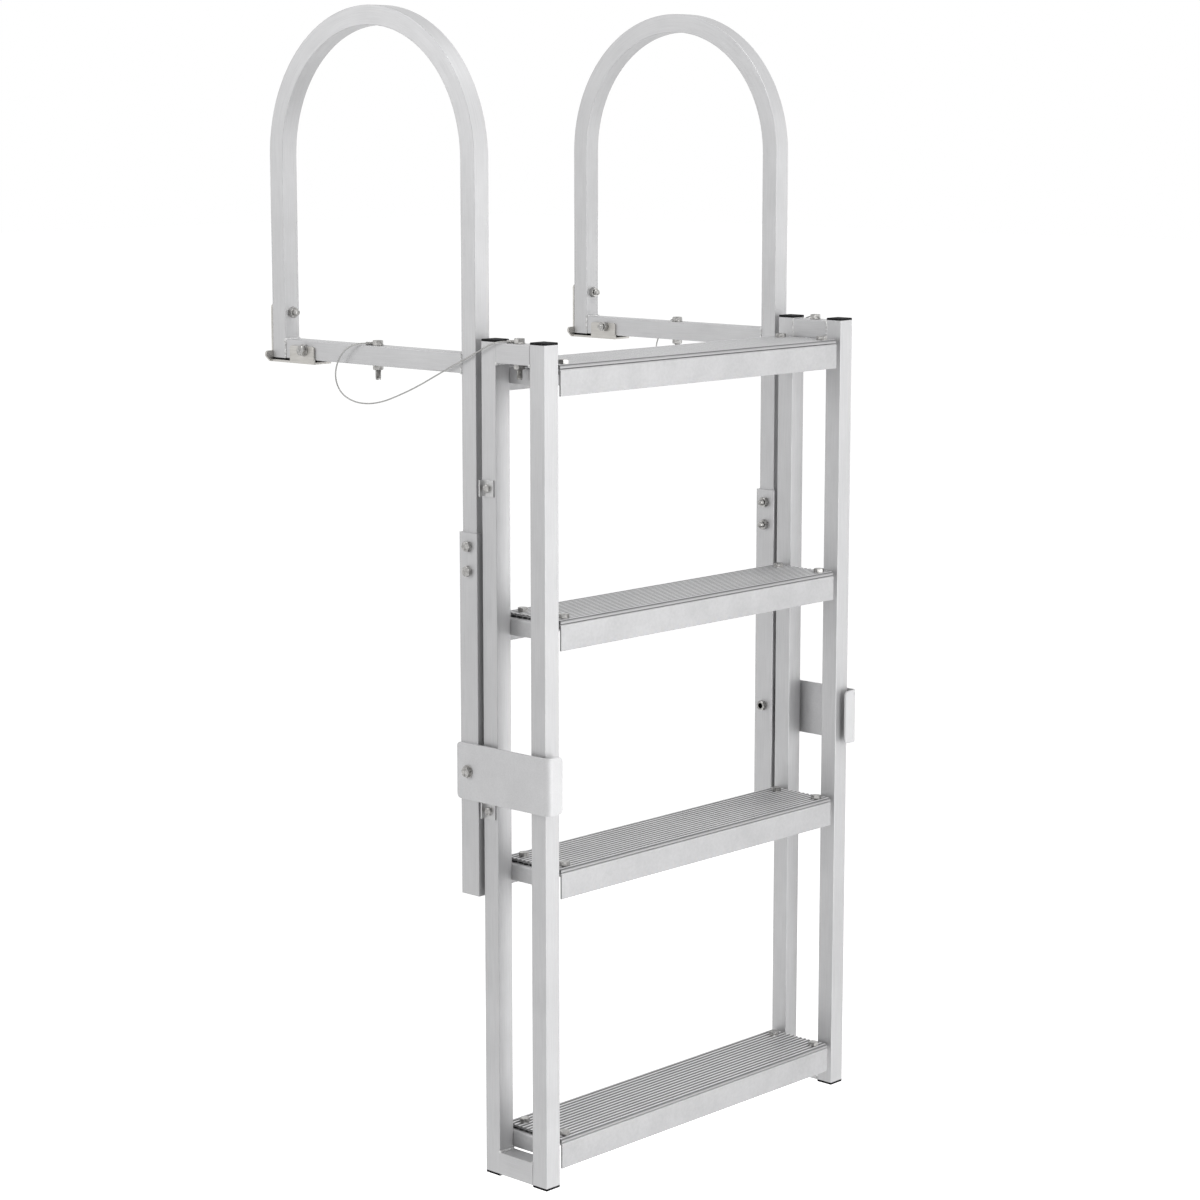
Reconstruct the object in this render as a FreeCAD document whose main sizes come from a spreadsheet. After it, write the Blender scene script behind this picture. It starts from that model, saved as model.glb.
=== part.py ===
import FreeCAD, Part
import math
import os
import re
import Sketcher

# Retractable aluminium dock ladder: two hoop frames stand on the dock and hold guide straps,
# and a ladder of four treads slides up and down through the straps.
# The origin is the middle of the underside of the left dock bracket: +X runs along the dock edge
# to the right, +Y leads away from the water, +Z is up. All sizes are in millimetres.

os.makedirs("parts", exist_ok=True)
doc = FreeCAD.newDocument("dock_ladder")
sheet = doc.addObject("Spreadsheet::Sheet", "dims")

SIZES = [
    ("tube", 25.4, "side of every square tube"),
    ("tube_wall", 2.5, "wall of the square tubes"),
    ("tube_round", 1, "outside corner radius of the tubes"),
    ("sleeve_wall", 3.175, "wall of the leg extension tube"),
    ("ladder_width", 610, "over the outer faces of the ladder stiles"),
    ("stile_pitch", 85, "front stile to rear stile, face to face"),
    ("stile_length", 1089, "length of a ladder stile without its caps"),
    ("stile_top", 48, "top of the stile tubes above the dock"),
    ("hoop_pitch", 362, "between the two legs of a hoop"),
    ("hoop_height", 467, "top of a hoop above the dock"),
    ("leg_insert", 66, "front leg inside the leg extension"),
    ("sleeve_top", -196.5, "upper end of the leg extension"),
    ("sleeve_length", 474.5, "length of the leg extension"),
    ("sleeve_gap", 5, "leg extension to the sliding stile"),
    ("side_gap", 5, "guide strap to the stile's outer face"),
    ("front_gap", 9.5, "guide strap return to the stile's front face"),
    ("strap_thick", 3, "guide strap plate"),
    ("strap_high", 74.5, "height of the guide strap"),
    ("strap_middle", -507, "middle of the guide strap"),
    ("strap_tail", 4, "strap behind the leg extension"),
    ("strap_cover", 18.5, "strap return past the stile's outer face"),
    ("strap_bend", 9, "outside radius of the strap's bend"),
    ("strap_corner", 6, "corner radius of the strap's ends"),
    ("cap_thick", 2.5, "flange of a tube cap, with its crown"),
    ("cap_rise", 1.1, "height of a cap's crown"),
    ("cap_slope", 6, "width of the crown's slopes"),
    ("cap_plug", 10, "plug of a cap inside the tube"),
    ("plug_gap", 0.2, "cap plug to the tube wall"),
    ("plate_thick", 3, "plate of the dock bracket"),
    ("base_length", 88, "length of the bracket's base"),
    ("ear_length", 48, "length of the bracket's ears"),
    ("ear_high", 23.5, "height of the bracket's ears"),
    ("ear_corner", 4, "corner radius of the ears"),
    ("back_high", 76.6, "height of the bracket's back plate"),
    ("wing_reach", 12, "back plate's wings past the leg"),
    ("wing_high", 14.5, "height of the wings"),
    ("wing_cut", 7.5, "slanted lower corner of a wing"),
    ("back_bolt_high", 66, "bolt through the rear leg"),
    ("ear_bolt_back", 20, "ear bolt behind the ear's front edge"),
    ("sleeve_bolt_down", 17.5, "upper leg bolt below the sleeve's end"),
    ("sleeve_bolt_pitch", 32, "between the two leg bolts"),
    ("bolt", 8, "thread diameter of the bolts"),
    ("head_wide", 14.6, "bolt head and nut across corners"),
    ("head_high", 5.3, "height of a bolt head"),
    ("nut_high", 6.5, "height of a nut"),
    ("thread_out", 6, "bolt end past its nut"),
    ("hang_out", 13, "hanging bolt end past its nut"),
    ("washer_wide", 16, "washer diameter"),
    ("washer_thick", 1.6, "washer thickness"),
    ("hole_gap", 0.25, "hole radius past the bolt"),
    ("cross_drop", 1, "top cross-member below the stile's end"),
    ("foot_cross_high", 30, "height of the lower cross-member"),
    ("first_tread", 17, "upper edge of the top tread pan"),
    ("tread_step", 322, "between the upper treads"),
    ("foot_tread", 54, "lowest tread above the stile's foot"),
    ("tread_setback", 2, "tread behind the stiles' faces"),
    ("tread_lip", 34, "height of the front and rear lips"),
    ("tread_end", 22, "height of the end flaps"),
    ("tread_wall", 2.5, "sheet of the tread pan"),
    ("tread_bend", 0.8, "inside radius of the pan's folds"),
    ("lip_gap", 6, "end of a lip before the stile"),
    ("flap_notch", 8, "notch beside an end flap"),
    ("foot_high", 2.8, "feet under the ribbed plank"),
    ("foot_wide", 2.4, "width of a foot"),
    ("foot_pitch", 10, "between feet"),
    ("foot_count", 10, "feet across a plank"),
    ("cover_thick", 1.6, "sheet of the ribbed plank"),
    ("cover_inset", 1, "ribbed plank behind the pan's lips"),
    ("rib_high", 1.2, "height of a rib"),
    ("rib_pitch", 7.5, "between ribs"),
    ("rib_base", 5.2, "width of a rib at its foot"),
    ("rib_crest", 2.6, "width of a rib at its crest"),
    ("rib_count", 14, "ribs across a tread"),
    ("tread_bolt_side", 23.5, "tread bolt from the pan's end"),
    ("tread_bolt_edge", 12.5, "front tread bolt from the pan's front"),
    ("tread_bolt_pitch", 72.5, "front tread bolt to rear tread bolt"),
    ("tread_bolt_out", 3, "tread bolt past its nut"),
    ("screw", 6, "thread diameter of the clip screws"),
    ("screw_head_wide", 11, "clip screw head across corners"),
    ("screw_head_high", 4, "height of a clip screw head"),
    ("screw_long", 14, "length of a clip screw"),
    ("clip_wide", 20, "width of a stop clip"),
    ("clip_high", 21, "height of a stop clip"),
    ("clip_thick", 2, "plate of a stop clip"),
    ("clip_flange", 8, "stop flange from the stile's face"),
    ("clip_back", 2, "clip from the stile's rear edge"),
    ("clip_seat", 0.4, "lower clip below the strap when raised"),
    ("clip_travel", 322, "way of the ladder between its stops"),
    ("wire", 2, "tether wire diameter"),
    ("ferrule_wide", 4.4, "wire ferrule diameter"),
    ("ferrule_reach", 16, "end of a ferrule from its bolt's axis"),
    ("ferrule_lift", 0.3, "ferrule above the tube that it lies on"),
    ("wire_straight", 13, "straight wire behind a ferrule"),
    ("eye_thick", 1.6, "plate of the wire eye"),
    ("eye_wide", 15, "diameter of the wire eye"),
]
DERIVED = [
    ("tube_half", "tube / 2"),
    ("sleeve", "tube + 2 * sleeve_wall"),
    ("middle", "ladder_width / 2 + side_gap - sleeve / 2"),
    ("stile_x", "middle - ladder_width / 2 + tube_half"),
    ("rear_leg_y", "base_length / 2 - plate_thick - tube_half"),
    ("front_leg_y", "rear_leg_y - hoop_pitch"),
    ("rear_stile_y", "front_leg_y - sleeve / 2 - sleeve_gap - tube_half"),
    ("front_stile_y", "rear_stile_y - stile_pitch"),
    ("rail_z", "plate_thick + cap_thick + tube_half"),
    ("spring_z", "hoop_height - hoop_pitch / 2 - tube_half"),
    ("leg_end_z", "sleeve_top - leg_insert"),
    ("ear_bolt_y", "0 - base_length / 2 + ear_bolt_back"),
    ("rail_bolt_y", "(rear_leg_y + front_leg_y) / 2"),
    ("cross_bolt_y", "(rear_stile_y + front_stile_y) / 2"),
    ("cross_z", "stile_top - cross_drop - tube_half"),
    ("pan_length", "ladder_width - 2 * tube"),
    ("pan_x", "stile_x + tube_half"),
    ("pan_depth", "stile_pitch + tube - 2 * tread_setback"),
    ("pan_y", "front_stile_y - tube_half + tread_setback"),
    ("stile_face_x", "stile_x - tube_half"),
    ("sleeve_face_x", "0 - sleeve / 2"),
    ("strap_low", "strap_middle - strap_high / 2"),
    ("clip_low_top", "strap_low - clip_seat"),
    ("clip_up_low", "strap_middle + strap_high / 2 + clip_travel"),
    ("clip_y", "rear_stile_y + tube_half - clip_back - clip_wide"),
    ("cover_high", "foot_high + cover_thick + rib_high"),
    ("lip_length", "pan_length - 2 * lip_gap"),
    ("fold_out", "tread_bend + tread_wall"),
]
ALIASES = {}
for row, (alias, value, note) in enumerate(SIZES, start=1):
    sheet.set("A%d" % row, note)
    sheet.set("B%d" % row, str(value))
    sheet.setAlias("B%d" % row, alias)
    ALIASES[alias] = row
for row, (alias, formula) in enumerate(DERIVED, start=len(SIZES) + 1):
    sheet.set("A%d" % row, alias.replace("_", " "))
    sheet.set("B%d" % row, "=" + formula)
    sheet.setAlias("B%d" % row, alias)
    ALIASES[alias] = row
doc.recompute()

WORD = re.compile(r"[a-z][a-z_]*[a-z]")
NODES = []
Z = FreeCAD.Vector(0, 0, 1)


def size(alias):
    """The value of one cell of the sheet."""
    return float(sheet.get(alias))


def bound(text):
    """An expression in which every alias points at the sheet."""
    return WORD.sub(lambda w: "dims." + w.group(0) if w.group(0) in ALIASES else w.group(0), str(text))


def tie(thing, **wanted):
    """Binds properties to expressions. x, y and z stand for the placement's base."""
    for prop, text in wanted.items():
        path = "Placement.Base." + prop if prop in ("x", "y", "z") else prop
        thing.setExpression(path, bound(text))
    return thing


def box(name, x, y, z, length, width, height):
    """A box by its low corner and its three sizes."""
    made = doc.addObject("Part::Box", name)
    return tie(made, x=x, y=y, z=z, Length=length, Width=width, Height=height)


def rod(name, x, y, z, radius, length, axis=(0, 0, 1)):
    """A cylinder from a point along an axis."""
    made = doc.addObject("Part::Cylinder", name)
    made.Placement.Rotation = FreeCAD.Rotation(Z, FreeCAD.Vector(*axis))
    return tie(made, x=x, y=y, z=z, Radius=radius, Height=length)


def join(name, *parts):
    """Several solids as one solid."""
    made = doc.addObject("Part::MultiFuse", name)
    made.Shapes = list(parts)
    return made


def group(name, *parts):
    """Several separate solids kept in one node."""
    made = doc.addObject("Part::Compound", name)
    made.Links = list(parts)
    return made


def rounded(block, along, radius, wanted=None):
    """A block whose edges along one axis are rounded. wanted picks some of them by their middle."""
    doc.recompute()
    found = []
    for number, edge in enumerate(block.Shape.Edges, start=1):
        way = edge.Vertexes[-1].Point - edge.Vertexes[0].Point
        if abs(way[along]) < 0.999 * edge.Length or (wanted and not wanted(edge.CenterOfMass)):
            continue
        found.append((number, value_of(radius), value_of(radius)))
    soft = doc.addObject("Part::Fillet", block.Name + "_round")
    soft.Base = block
    soft.Edges = found
    return soft


def less(name, base, *tools):
    """A solid with other solids taken away."""
    made = doc.addObject("Part::Cut", name)
    made.Base = base
    made.Tool = tools[0] if len(tools) == 1 else join(name + "_tools", *tools)
    return made


def node(made, label):
    """Marks an object as one piece of the ladder."""
    made.Label = label
    NODES.append(made)
    return made


def other_side(left, name):
    """The same piece on the right-hand side of the ladder."""
    made = doc.addObject("Part::Mirroring", name)
    made.Source = left
    made.Normal = (1, 0, 0)
    made.setExpression("Base.x", bound("middle"))
    return node(made, name)


def pair(left, stem):
    """Names a left-hand piece and adds its right-hand twin."""
    node(left, stem + "_left")
    return other_side(left, stem + "_right")


def body_sketch(body, plane, name):
    """An empty sketch on one of the body's own origin planes."""
    made = body.newObject("Sketcher::SketchObject", name)
    planes = [f for f in body.Origin.OriginFeatures if getattr(f, "Role", "") == plane]
    made.AttachmentSupport = [(planes[0], "")]
    made.MapMode = "FlatFace"
    return made


def outline(sketch, points):
    """A closed outline whose corners are expressions of the sheet."""
    start = sketch.GeometryCount
    doc.recompute()
    flat = [FreeCAD.Vector(value_of(x), value_of(y), 0) for x, y in points]
    for k in range(len(flat)):
        sketch.addGeometry(Part.LineSegment(flat[k], flat[(k + 1) % len(flat)]), False)
    for k in range(len(flat)):
        sketch.addConstraint(
            Sketcher.Constraint("Coincident", start + k, 2, start + (k + 1) % len(flat), 1)
        )
    for k, (x, y) in enumerate(points):
        for kind, text, at in (("DistanceX", x, flat[k].x), ("DistanceY", y, flat[k].y)):
            place = sketch.addConstraint(Sketcher.Constraint(kind, start + k, 1, at))
            sketch.setExpression("Constraints[%d]" % place, bound(text))


def value_of(text):
    """The number that an expression of the sheet has now."""
    names = {alias: size(alias) for alias in WORD.findall(str(text)) if alias in ALIASES}
    total = sheet.evalExpression(bound(text)) if names else float(text)
    return float(getattr(total, "Value", total))


def hex_bolt(name, x, y, z, axis, grip, out, washer=True, nut=True):
    """A hex bolt with washer and nut: its head seats at the point, the axis leads to the head."""
    head_at = "washer_thick" if washer else "0"
    head = doc.addObject("Part::Prism", name + "_head")
    head.Polygon = 6
    tie(head, Circumradius="head_wide / 2", Height="head_high", z=head_at)
    parts = [head]
    below = "(%s)" % grip
    if washer:
        parts.append(rod(name + "_washer", 0, 0, 0, "washer_wide / 2", "washer_thick"))
    shank_low = "%s + nut_high + %s" % (below, out) if nut else below
    parts.append(rod(name + "_shank", 0, 0, "0 - (%s)" % shank_low, "bolt / 2", "%s + %s + 1" % (shank_low, head_at)))
    if nut:
        ring = doc.addObject("Part::Prism", name + "_nut")
        ring.Polygon = 6
        tie(ring, Circumradius="head_wide / 2", Height="nut_high", z="0 - %s - nut_high" % below)
        parts.append(ring)
    made = join(name, *parts)
    made.Placement.Rotation = FreeCAD.Rotation(Z, FreeCAD.Vector(*axis))
    return tie(made, x=x, y=y, z=z)


# Hoops: one bent square tube each, swept along its two legs and the arch between them
def make_hoop():
    body = doc.addObject("PartDesign::Body", "hoop")
    path = body_sketch(body, "YZ_Plane", "hoop_path")
    y1, y0 = size("rear_leg_y"), size("front_leg_y")
    low, spring, end = size("rail_z") - size("tube_half"), size("spring_z"), size("leg_end_z")
    v = FreeCAD.Vector
    path.addGeometry(Part.LineSegment(v(y1, low, 0), v(y1, spring, 0)), False)
    arch = Part.Circle(v((y0 + y1) / 2, spring, 0), v(0, 0, 1), (y1 - y0) / 2)
    path.addGeometry(Part.ArcOfCircle(arch, 0, math.pi), False)
    path.addGeometry(Part.LineSegment(v(y0, spring, 0), v(y0, end, 0)), False)
    path.addConstraint(Sketcher.Constraint("Coincident", 0, 2, 1, 1))
    path.addConstraint(Sketcher.Constraint("Coincident", 1, 2, 2, 1))
    path.addConstraint(Sketcher.Constraint("Vertical", 0))
    path.addConstraint(Sketcher.Constraint("Vertical", 2))
    for kind, geo, pos, text, at in (
        ("DistanceX", 0, 1, "rear_leg_y", y1),
        ("DistanceY", 0, 1, "rail_z - tube_half", low),
        ("DistanceY", 0, 2, "spring_z", spring),
        ("DistanceX", 2, 1, "front_leg_y", y0),
        ("DistanceY", 2, 1, "spring_z", spring),
        ("DistanceY", 2, 2, "leg_end_z", end),
        ("DistanceY", 1, 3, "spring_z", spring),
    ):
        place = path.addConstraint(Sketcher.Constraint(kind, geo, pos, at))
        path.setExpression("Constraints[%d]" % place, bound(text))
    ring = body_sketch(body, "XY_Plane", "hoop_section")
    ring.setExpression("AttachmentOffset.Base.z", bound("rail_z - tube_half"))
    ring.setExpression("AttachmentOffset.Base.y", bound("rear_leg_y"))
    for half in ("tube_half", "tube_half - tube_wall"):
        outline(ring, [("0 - (%s)" % half, "0 - (%s)" % half), (half, "0 - (%s)" % half), (half, half), ("0 - (%s)" % half, half)])
    doc.recompute()
    pipe = body.newObject("PartDesign::AdditivePipe", "hoop_pipe")
    pipe.Profile = ring
    pipe.Spine = (path, ["Edge1", "Edge2", "Edge3"])
    pipe.Mode = "Standard"
    doc.recompute()
    corners = []
    for number, edge in enumerate(pipe.Shape.Edges, start=1):
        if edge.Length > 2 * size("tube") and abs(abs(edge.CenterOfMass.x) - size("tube_half")) < 0.01:
            corners.append("Edge%d" % number)
    soft = body.newObject("PartDesign::Fillet", "hoop_corners")
    soft.Base = (pipe, corners)
    soft.setExpression("Radius", bound("tube_round"))
    body.Tip = soft
    doc.recompute()
    holes = [
        rod("hoop_hole_back", 0, "rear_leg_y - tube", "back_bolt_high", "bolt / 2 + hole_gap", "2 * tube", (0, 1, 0)),
    ]
    for k in (0, 1):
        holes.append(
            rod("hoop_hole_leg%d" % k, "0 - sleeve", "front_leg_y",
                "sleeve_top - sleeve_bolt_down - %d * sleeve_bolt_pitch" % k,
                "bolt / 2 + hole_gap", "2 * sleeve", (1, 0, 0))
        )
    return less("hoop_drilled", body, *holes)


pair(make_hoop(), "hoop")


def make_tube(name, x, y, z, length, width, height, along, wall="tube_wall"):
    """A hollow rectangular tube by its low corner. along is the open direction, 0, 1 or 2."""
    at, sizes = [x, y, z], [length, width, height]
    outer = rounded(box(name + "_outer", *at, *sizes), along, "tube_round")
    inner_at = [c if k == along else "%s + %s" % (c, wall) for k, c in enumerate(at)]
    inner_size = [s if k == along else "%s - 2 * %s" % (s, wall) for k, s in enumerate(sizes)]
    return less(name + "_tube", outer, box(name + "_inner", *inner_at, *inner_size))


# Deck rail between the two legs of a hoop
rail = make_tube("deck_rail", "0 - tube_half", "front_leg_y + tube_half", "rail_z - tube_half",
                 "tube", "hoop_pitch - tube", "tube", 1)
rail = less(
    "deck_rail_drilled", rail,
    rod("rail_hole_down", 0, "rail_bolt_y", "rail_z - tube", "bolt / 2 + hole_gap", "2 * tube"),
    rod("rail_hole_side", "0 - tube", "ear_bolt_y", "rail_z", "bolt / 2 + hole_gap", "2 * tube", (1, 0, 0)),
)
pair(rail, "deck_rail")

# Leg extension: a larger tube that the front leg telescopes into
sleeve = make_tube("leg_extension", "sleeve_face_x", "front_leg_y - sleeve / 2", "sleeve_top - sleeve_length",
                   "sleeve", "sleeve", "sleeve_length", 2, "sleeve_wall")
sleeve = less(
    "leg_extension_drilled", sleeve,
    *[rod("sleeve_hole%d" % k, "0 - sleeve", "front_leg_y", z, "bolt / 2 + hole_gap", "2 * sleeve", (1, 0, 0))
      for k, z in enumerate(("sleeve_top - sleeve_bolt_down", "sleeve_top - sleeve_bolt_down - sleeve_bolt_pitch",
                             "strap_middle"))],
)
pair(sleeve, "leg_extension")


# Guide strap: one plate folded round the front of the stiles
def make_strap():
    body = doc.addObject("PartDesign::Body", "guide_strap")
    profile = body_sketch(body, "XY_Plane", "strap_profile")
    out, inn = "sleeve_face_x - strap_thick", "sleeve_face_x"
    back = "front_leg_y + sleeve / 2 + strap_tail"
    front = "front_stile_y - tube_half - front_gap"
    free = "stile_face_x + strap_cover"
    outline(profile, [(out, back), (out, front + " - strap_thick"), (free, front + " - strap_thick"),
                      (free, front), (inn, front), (inn, back)])
    profile.setExpression("AttachmentOffset.Base.z", bound("strap_low"))
    pad = body.newObject("PartDesign::Pad", "strap_plate")
    pad.Profile = profile
    pad.setExpression("Length", bound("strap_high"))
    doc.recompute()

    def upright_edge(shape, x, y):
        for number, edge in enumerate(shape.Edges, start=1):
            a, b = edge.Vertexes[0].Point, edge.Vertexes[-1].Point
            if abs(a.x - b.x) + abs(a.y - b.y) < 0.01 and math.hypot(a.x - x, a.y - y) < 0.05:
                return "Edge%d" % number
        raise ValueError("no upright edge at %g, %g" % (x, y))

    outer = upright_edge(pad.Shape, value_of(out), value_of(front + " - strap_thick"))
    bend = body.newObject("PartDesign::Fillet", "strap_bend_outer")
    bend.Base = (pad, [outer])
    bend.setExpression("Radius", bound("strap_bend"))
    doc.recompute()
    inner = upright_edge(bend.Shape, value_of(inn), value_of(front))
    tight = body.newObject("PartDesign::Fillet", "strap_bend_inner")
    tight.Base = (bend, [inner])
    tight.setExpression("Radius", bound("strap_bend - strap_thick"))
    doc.recompute()

    def corner_edges(shape):
        found = []
        for number, edge in enumerate(shape.Edges, start=1):
            a, b = edge.Vertexes[0].Point, edge.Vertexes[-1].Point
            if abs(a.z - b.z) > 0.01 or abs(edge.Length - size("strap_thick")) > 0.01:
                continue
            if abs(a.y - value_of(back)) < 0.05 and abs(b.y - value_of(back)) < 0.05:
                found.append("Edge%d" % number)
            elif abs(a.x - value_of(free)) < 0.05 and abs(b.x - value_of(free)) < 0.05:
                found.append("Edge%d" % number)
        return found

    ends = body.newObject("PartDesign::Fillet", "strap_corners")
    ends.Base = (tight, corner_edges(tight.Shape))
    ends.setExpression("Radius", bound("strap_corner"))
    body.Tip = ends
    doc.recompute()
    hole = rod("strap_hole", "0 - sleeve", "front_leg_y", "strap_middle", "bolt / 2 + hole_gap", "2 * sleeve", (1, 0, 0))
    return less("guide_strap_drilled", body, hole)


pair(make_strap(), "guide_strap")


# Dock bracket: a folded plate with a base, two ears at the rail and a winged back plate
def make_bracket():
    width = "tube + 2 * plate_thick"
    base = box("bracket_base", "0 - tube_half - plate_thick", "0 - base_length / 2", 0, width, "base_length", "plate_thick")
    ears = []
    for name, x in (("outer", "0 - tube_half - plate_thick"), ("inner", "tube_half")):
        plate = box("bracket_ear_" + name, x, "0 - base_length / 2", 0, "plate_thick", "ear_length", "ear_high")
        ears.append(rounded(plate, 0, "ear_corner", lambda at: at.z > size("ear_high") - 0.01))
    back = box("bracket_back", "0 - tube_half", "rear_leg_y + tube_half", 0, "tube", "plate_thick", "back_high")
    back = rounded(back, 1, "ear_corner", lambda at: at.z > size("back_high") - 0.01)
    wings = box("bracket_wings", "0 - tube_half - wing_reach", "rear_leg_y + tube_half", 0,
                "tube + 2 * wing_reach", "plate_thick", "wing_high")
    doc.recompute()
    lower = []
    for number, edge in enumerate(wings.Shape.Edges, start=1):
        a, b = edge.Vertexes[0].Point, edge.Vertexes[-1].Point
        if abs(a.y - b.y) > 0.1 and a.z < 0.01:
            lower.append((number, size("wing_cut"), size("wing_cut")))
    cut = doc.addObject("Part::Chamfer", "bracket_wings_cut")
    cut.Base = wings
    cut.Edges = lower
    soft = rounded(cut, 1, "ear_corner", lambda at: at.z > size("wing_high") - 0.01)
    whole = join("bracket_plate", base, *ears, back, soft)
    return less(
        "bracket_drilled", whole,
        rod("bracket_hole_side", "0 - tube", "ear_bolt_y", "rail_z", "bolt / 2 + hole_gap", "2 * tube", (1, 0, 0)),
        rod("bracket_hole_back", 0, "rear_leg_y - tube", "back_bolt_high", "bolt / 2 + hole_gap", "3 * tube", (0, 1, 0)),
    )


pair(make_bracket(), "dock_bracket")


def make_cap(name, x, y, z, up=True, crown=True):
    """A tube cap: flange, low crown and plug. z is the tube's end."""
    side = "cap_thick - cap_rise" if crown else "cap_thick"
    flange = box(name + "_flange", "%s - tube_half" % x, "%s - tube_half" % y, z if up else "%s - (%s)" % (z, side),
                 "tube", "tube", side)
    parts = [rounded(flange, 2, "tube_round")]
    if crown:
        dome = doc.addObject("Part::Wedge", name + "_crown")
        for low, high, inset in (("Xmin", "Xmax", "tube_round"), ("Zmin", "Zmax", "tube_round"),
                                 ("X2min", "X2max", "cap_slope"), ("Z2min", "Z2max", "cap_slope")):
            tie(dome, **{low: "%s - tube_half" % inset, high: "tube_half - %s" % inset})
        tie(dome, Ymin="0", Ymax="cap_rise", x=x, y=y, z="%s %s (%s)" % (z, "+" if up else "-", side))
        dome.Placement.Rotation = FreeCAD.Rotation(FreeCAD.Vector(1, 0, 0), 90 if up else -90)
        parts.append(dome)
    inside = "tube - 2 * tube_wall - 2 * plug_gap"
    parts.append(box(name + "_plug", "%s - (%s) / 2" % (x, inside), "%s - (%s) / 2" % (y, inside),
                     "%s - cap_plug" % z if up else z, inside, inside, "cap_plug"))
    return join(name, *parts)


pair(make_cap("hoop_cap", "0", "rear_leg_y", "rail_z - tube_half", up=False, crown=False), "hoop_cap")

# Fixed bolts of one side: two through the leg, one at the strap, two at the dock bracket
bolts = [
    hex_bolt("leg_bolt_upper", "sleeve_face_x", "front_leg_y", "sleeve_top - sleeve_bolt_down", (-1, 0, 0),
             "sleeve", "thread_out", washer=False),
    hex_bolt("leg_bolt_lower", "sleeve_face_x", "front_leg_y", "sleeve_top - sleeve_bolt_down - sleeve_bolt_pitch",
             (-1, 0, 0), "sleeve", "thread_out", washer=False),
    hex_bolt("strap_bolt", "sleeve_face_x - strap_thick", "front_leg_y", "strap_middle", (-1, 0, 0),
             "sleeve + strap_thick", "0", washer=False),
    hex_bolt("ear_bolt", "0 - tube_half - plate_thick", "ear_bolt_y", "rail_z", (-1, 0, 0),
             "tube + 2 * plate_thick", "thread_out"),
    hex_bolt("back_bolt", "0", "rear_leg_y + tube_half + plate_thick", "back_bolt_high", (0, 1, 0),
             "tube + plate_thick", "thread_out", washer=False),
]
pair(group("frame_bolts", *bolts), "frame_bolts")


# The wire leaves both of its bolts outwards and away from the water
WAY = FreeCAD.Vector(-0.6, 0.8, 0)
FERRULE_AT = "ferrule_wide / 2 + ferrule_lift"


def make_hung_bolt(name, x, y, top):
    """An upright bolt with the wire's eye under its head."""
    bolt = hex_bolt(name + "_bolt", "0", "0", "eye_thick", (0, 0, 1), "tube + eye_thick", "hang_out", washer=False)
    eye = rod(name + "_eye", 0, 0, 0, "eye_wide / 2", "eye_thick")
    ferrule = rod(name + "_ferrule", "0 - %g * bolt / 2" % -WAY.x, "%g * bolt / 2" % WAY.y, FERRULE_AT,
                  "ferrule_wide / 2", "ferrule_reach - bolt / 2", tuple(WAY))
    made = join(name, bolt, eye, ferrule)
    return tie(made, x=x, y=y, z=top)


# Stiles of the ladder, with the screw holes of the stop clips in the rear ones
pair(make_tube("front_stile", "stile_face_x", "front_stile_y - tube_half", "stile_top - stile_length",
               "tube", "tube", "stile_length", 2), "front_stile")
rear = make_tube("rear_stile", "stile_face_x", "rear_stile_y - tube_half", "stile_top - stile_length",
                 "tube", "tube", "stile_length", 2)
CLIP_AT = ("clip_low_top - clip_high / 2", "clip_up_low + clip_high / 2")
rear = less(
    "rear_stile_drilled", rear,
    *[rod("clip_hole%d" % k, "stile_face_x - tube_wall", "clip_y + clip_wide / 2", z, "screw / 2 + hole_gap",
          "3 * tube_wall", (1, 0, 0)) for k, z in enumerate(CLIP_AT)],
)
pair(rear, "rear_stile")

# Cross-members of the side frames
top_cross = make_tube("top_cross", "stile_face_x", "front_stile_y + tube_half", "cross_z - tube_half",
                      "tube", "stile_pitch - tube", "tube", 1)
top_cross = less(
    "top_cross_drilled", top_cross,
    rod("cross_hole", "stile_x", "cross_bolt_y", "cross_z - tube", "bolt / 2 + hole_gap", "2 * tube"),
)
pair(top_cross, "top_cross")
pair(make_tube("bottom_cross", "stile_face_x", "front_stile_y + tube_half", "stile_top - stile_length",
               "tube", "stile_pitch - tube", "foot_cross_high", 1), "bottom_cross")

# Caps on the four tube ends of each side frame
caps = []
for stile in ("front_stile_y", "rear_stile_y"):
    caps.append(make_cap("top_cap_" + stile[:-2], "stile_x", stile, "stile_top"))
    caps.append(make_cap("foot_cap_" + stile[:-2], "stile_x", stile, "stile_top - stile_length", up=False))
pair(group("stile_caps", *caps), "stile_caps")

TREAD_Z = [
    "first_tread",
    "first_tread - tread_step",
    "first_tread - 2 * tread_step",
    "stile_top - stile_length + foot_tread",
]


def bolt_places():
    """The four corner bolts of a tread."""
    for tag, x in (("left", "pan_x + tread_bolt_side"), ("right", "pan_x + pan_length - tread_bolt_side")):
        yield tag + "_front", x, "pan_y + tread_bolt_edge"
        yield tag + "_rear", x, "pan_y + tread_bolt_edge + tread_bolt_pitch"


def flat_edges(shape, places):
    """The long edges along the tread whose section points are given."""
    found = []
    for number, edge in enumerate(shape.Edges, start=1):
        at = edge.CenterOfMass
        if edge.Length < size("lip_length") - 0.01:
            continue
        if any(math.hypot(at.y - value_of(y), at.z - value_of(z)) < 0.01 for y, z in places):
            found.append("Edge%d" % number)
    return found


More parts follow.
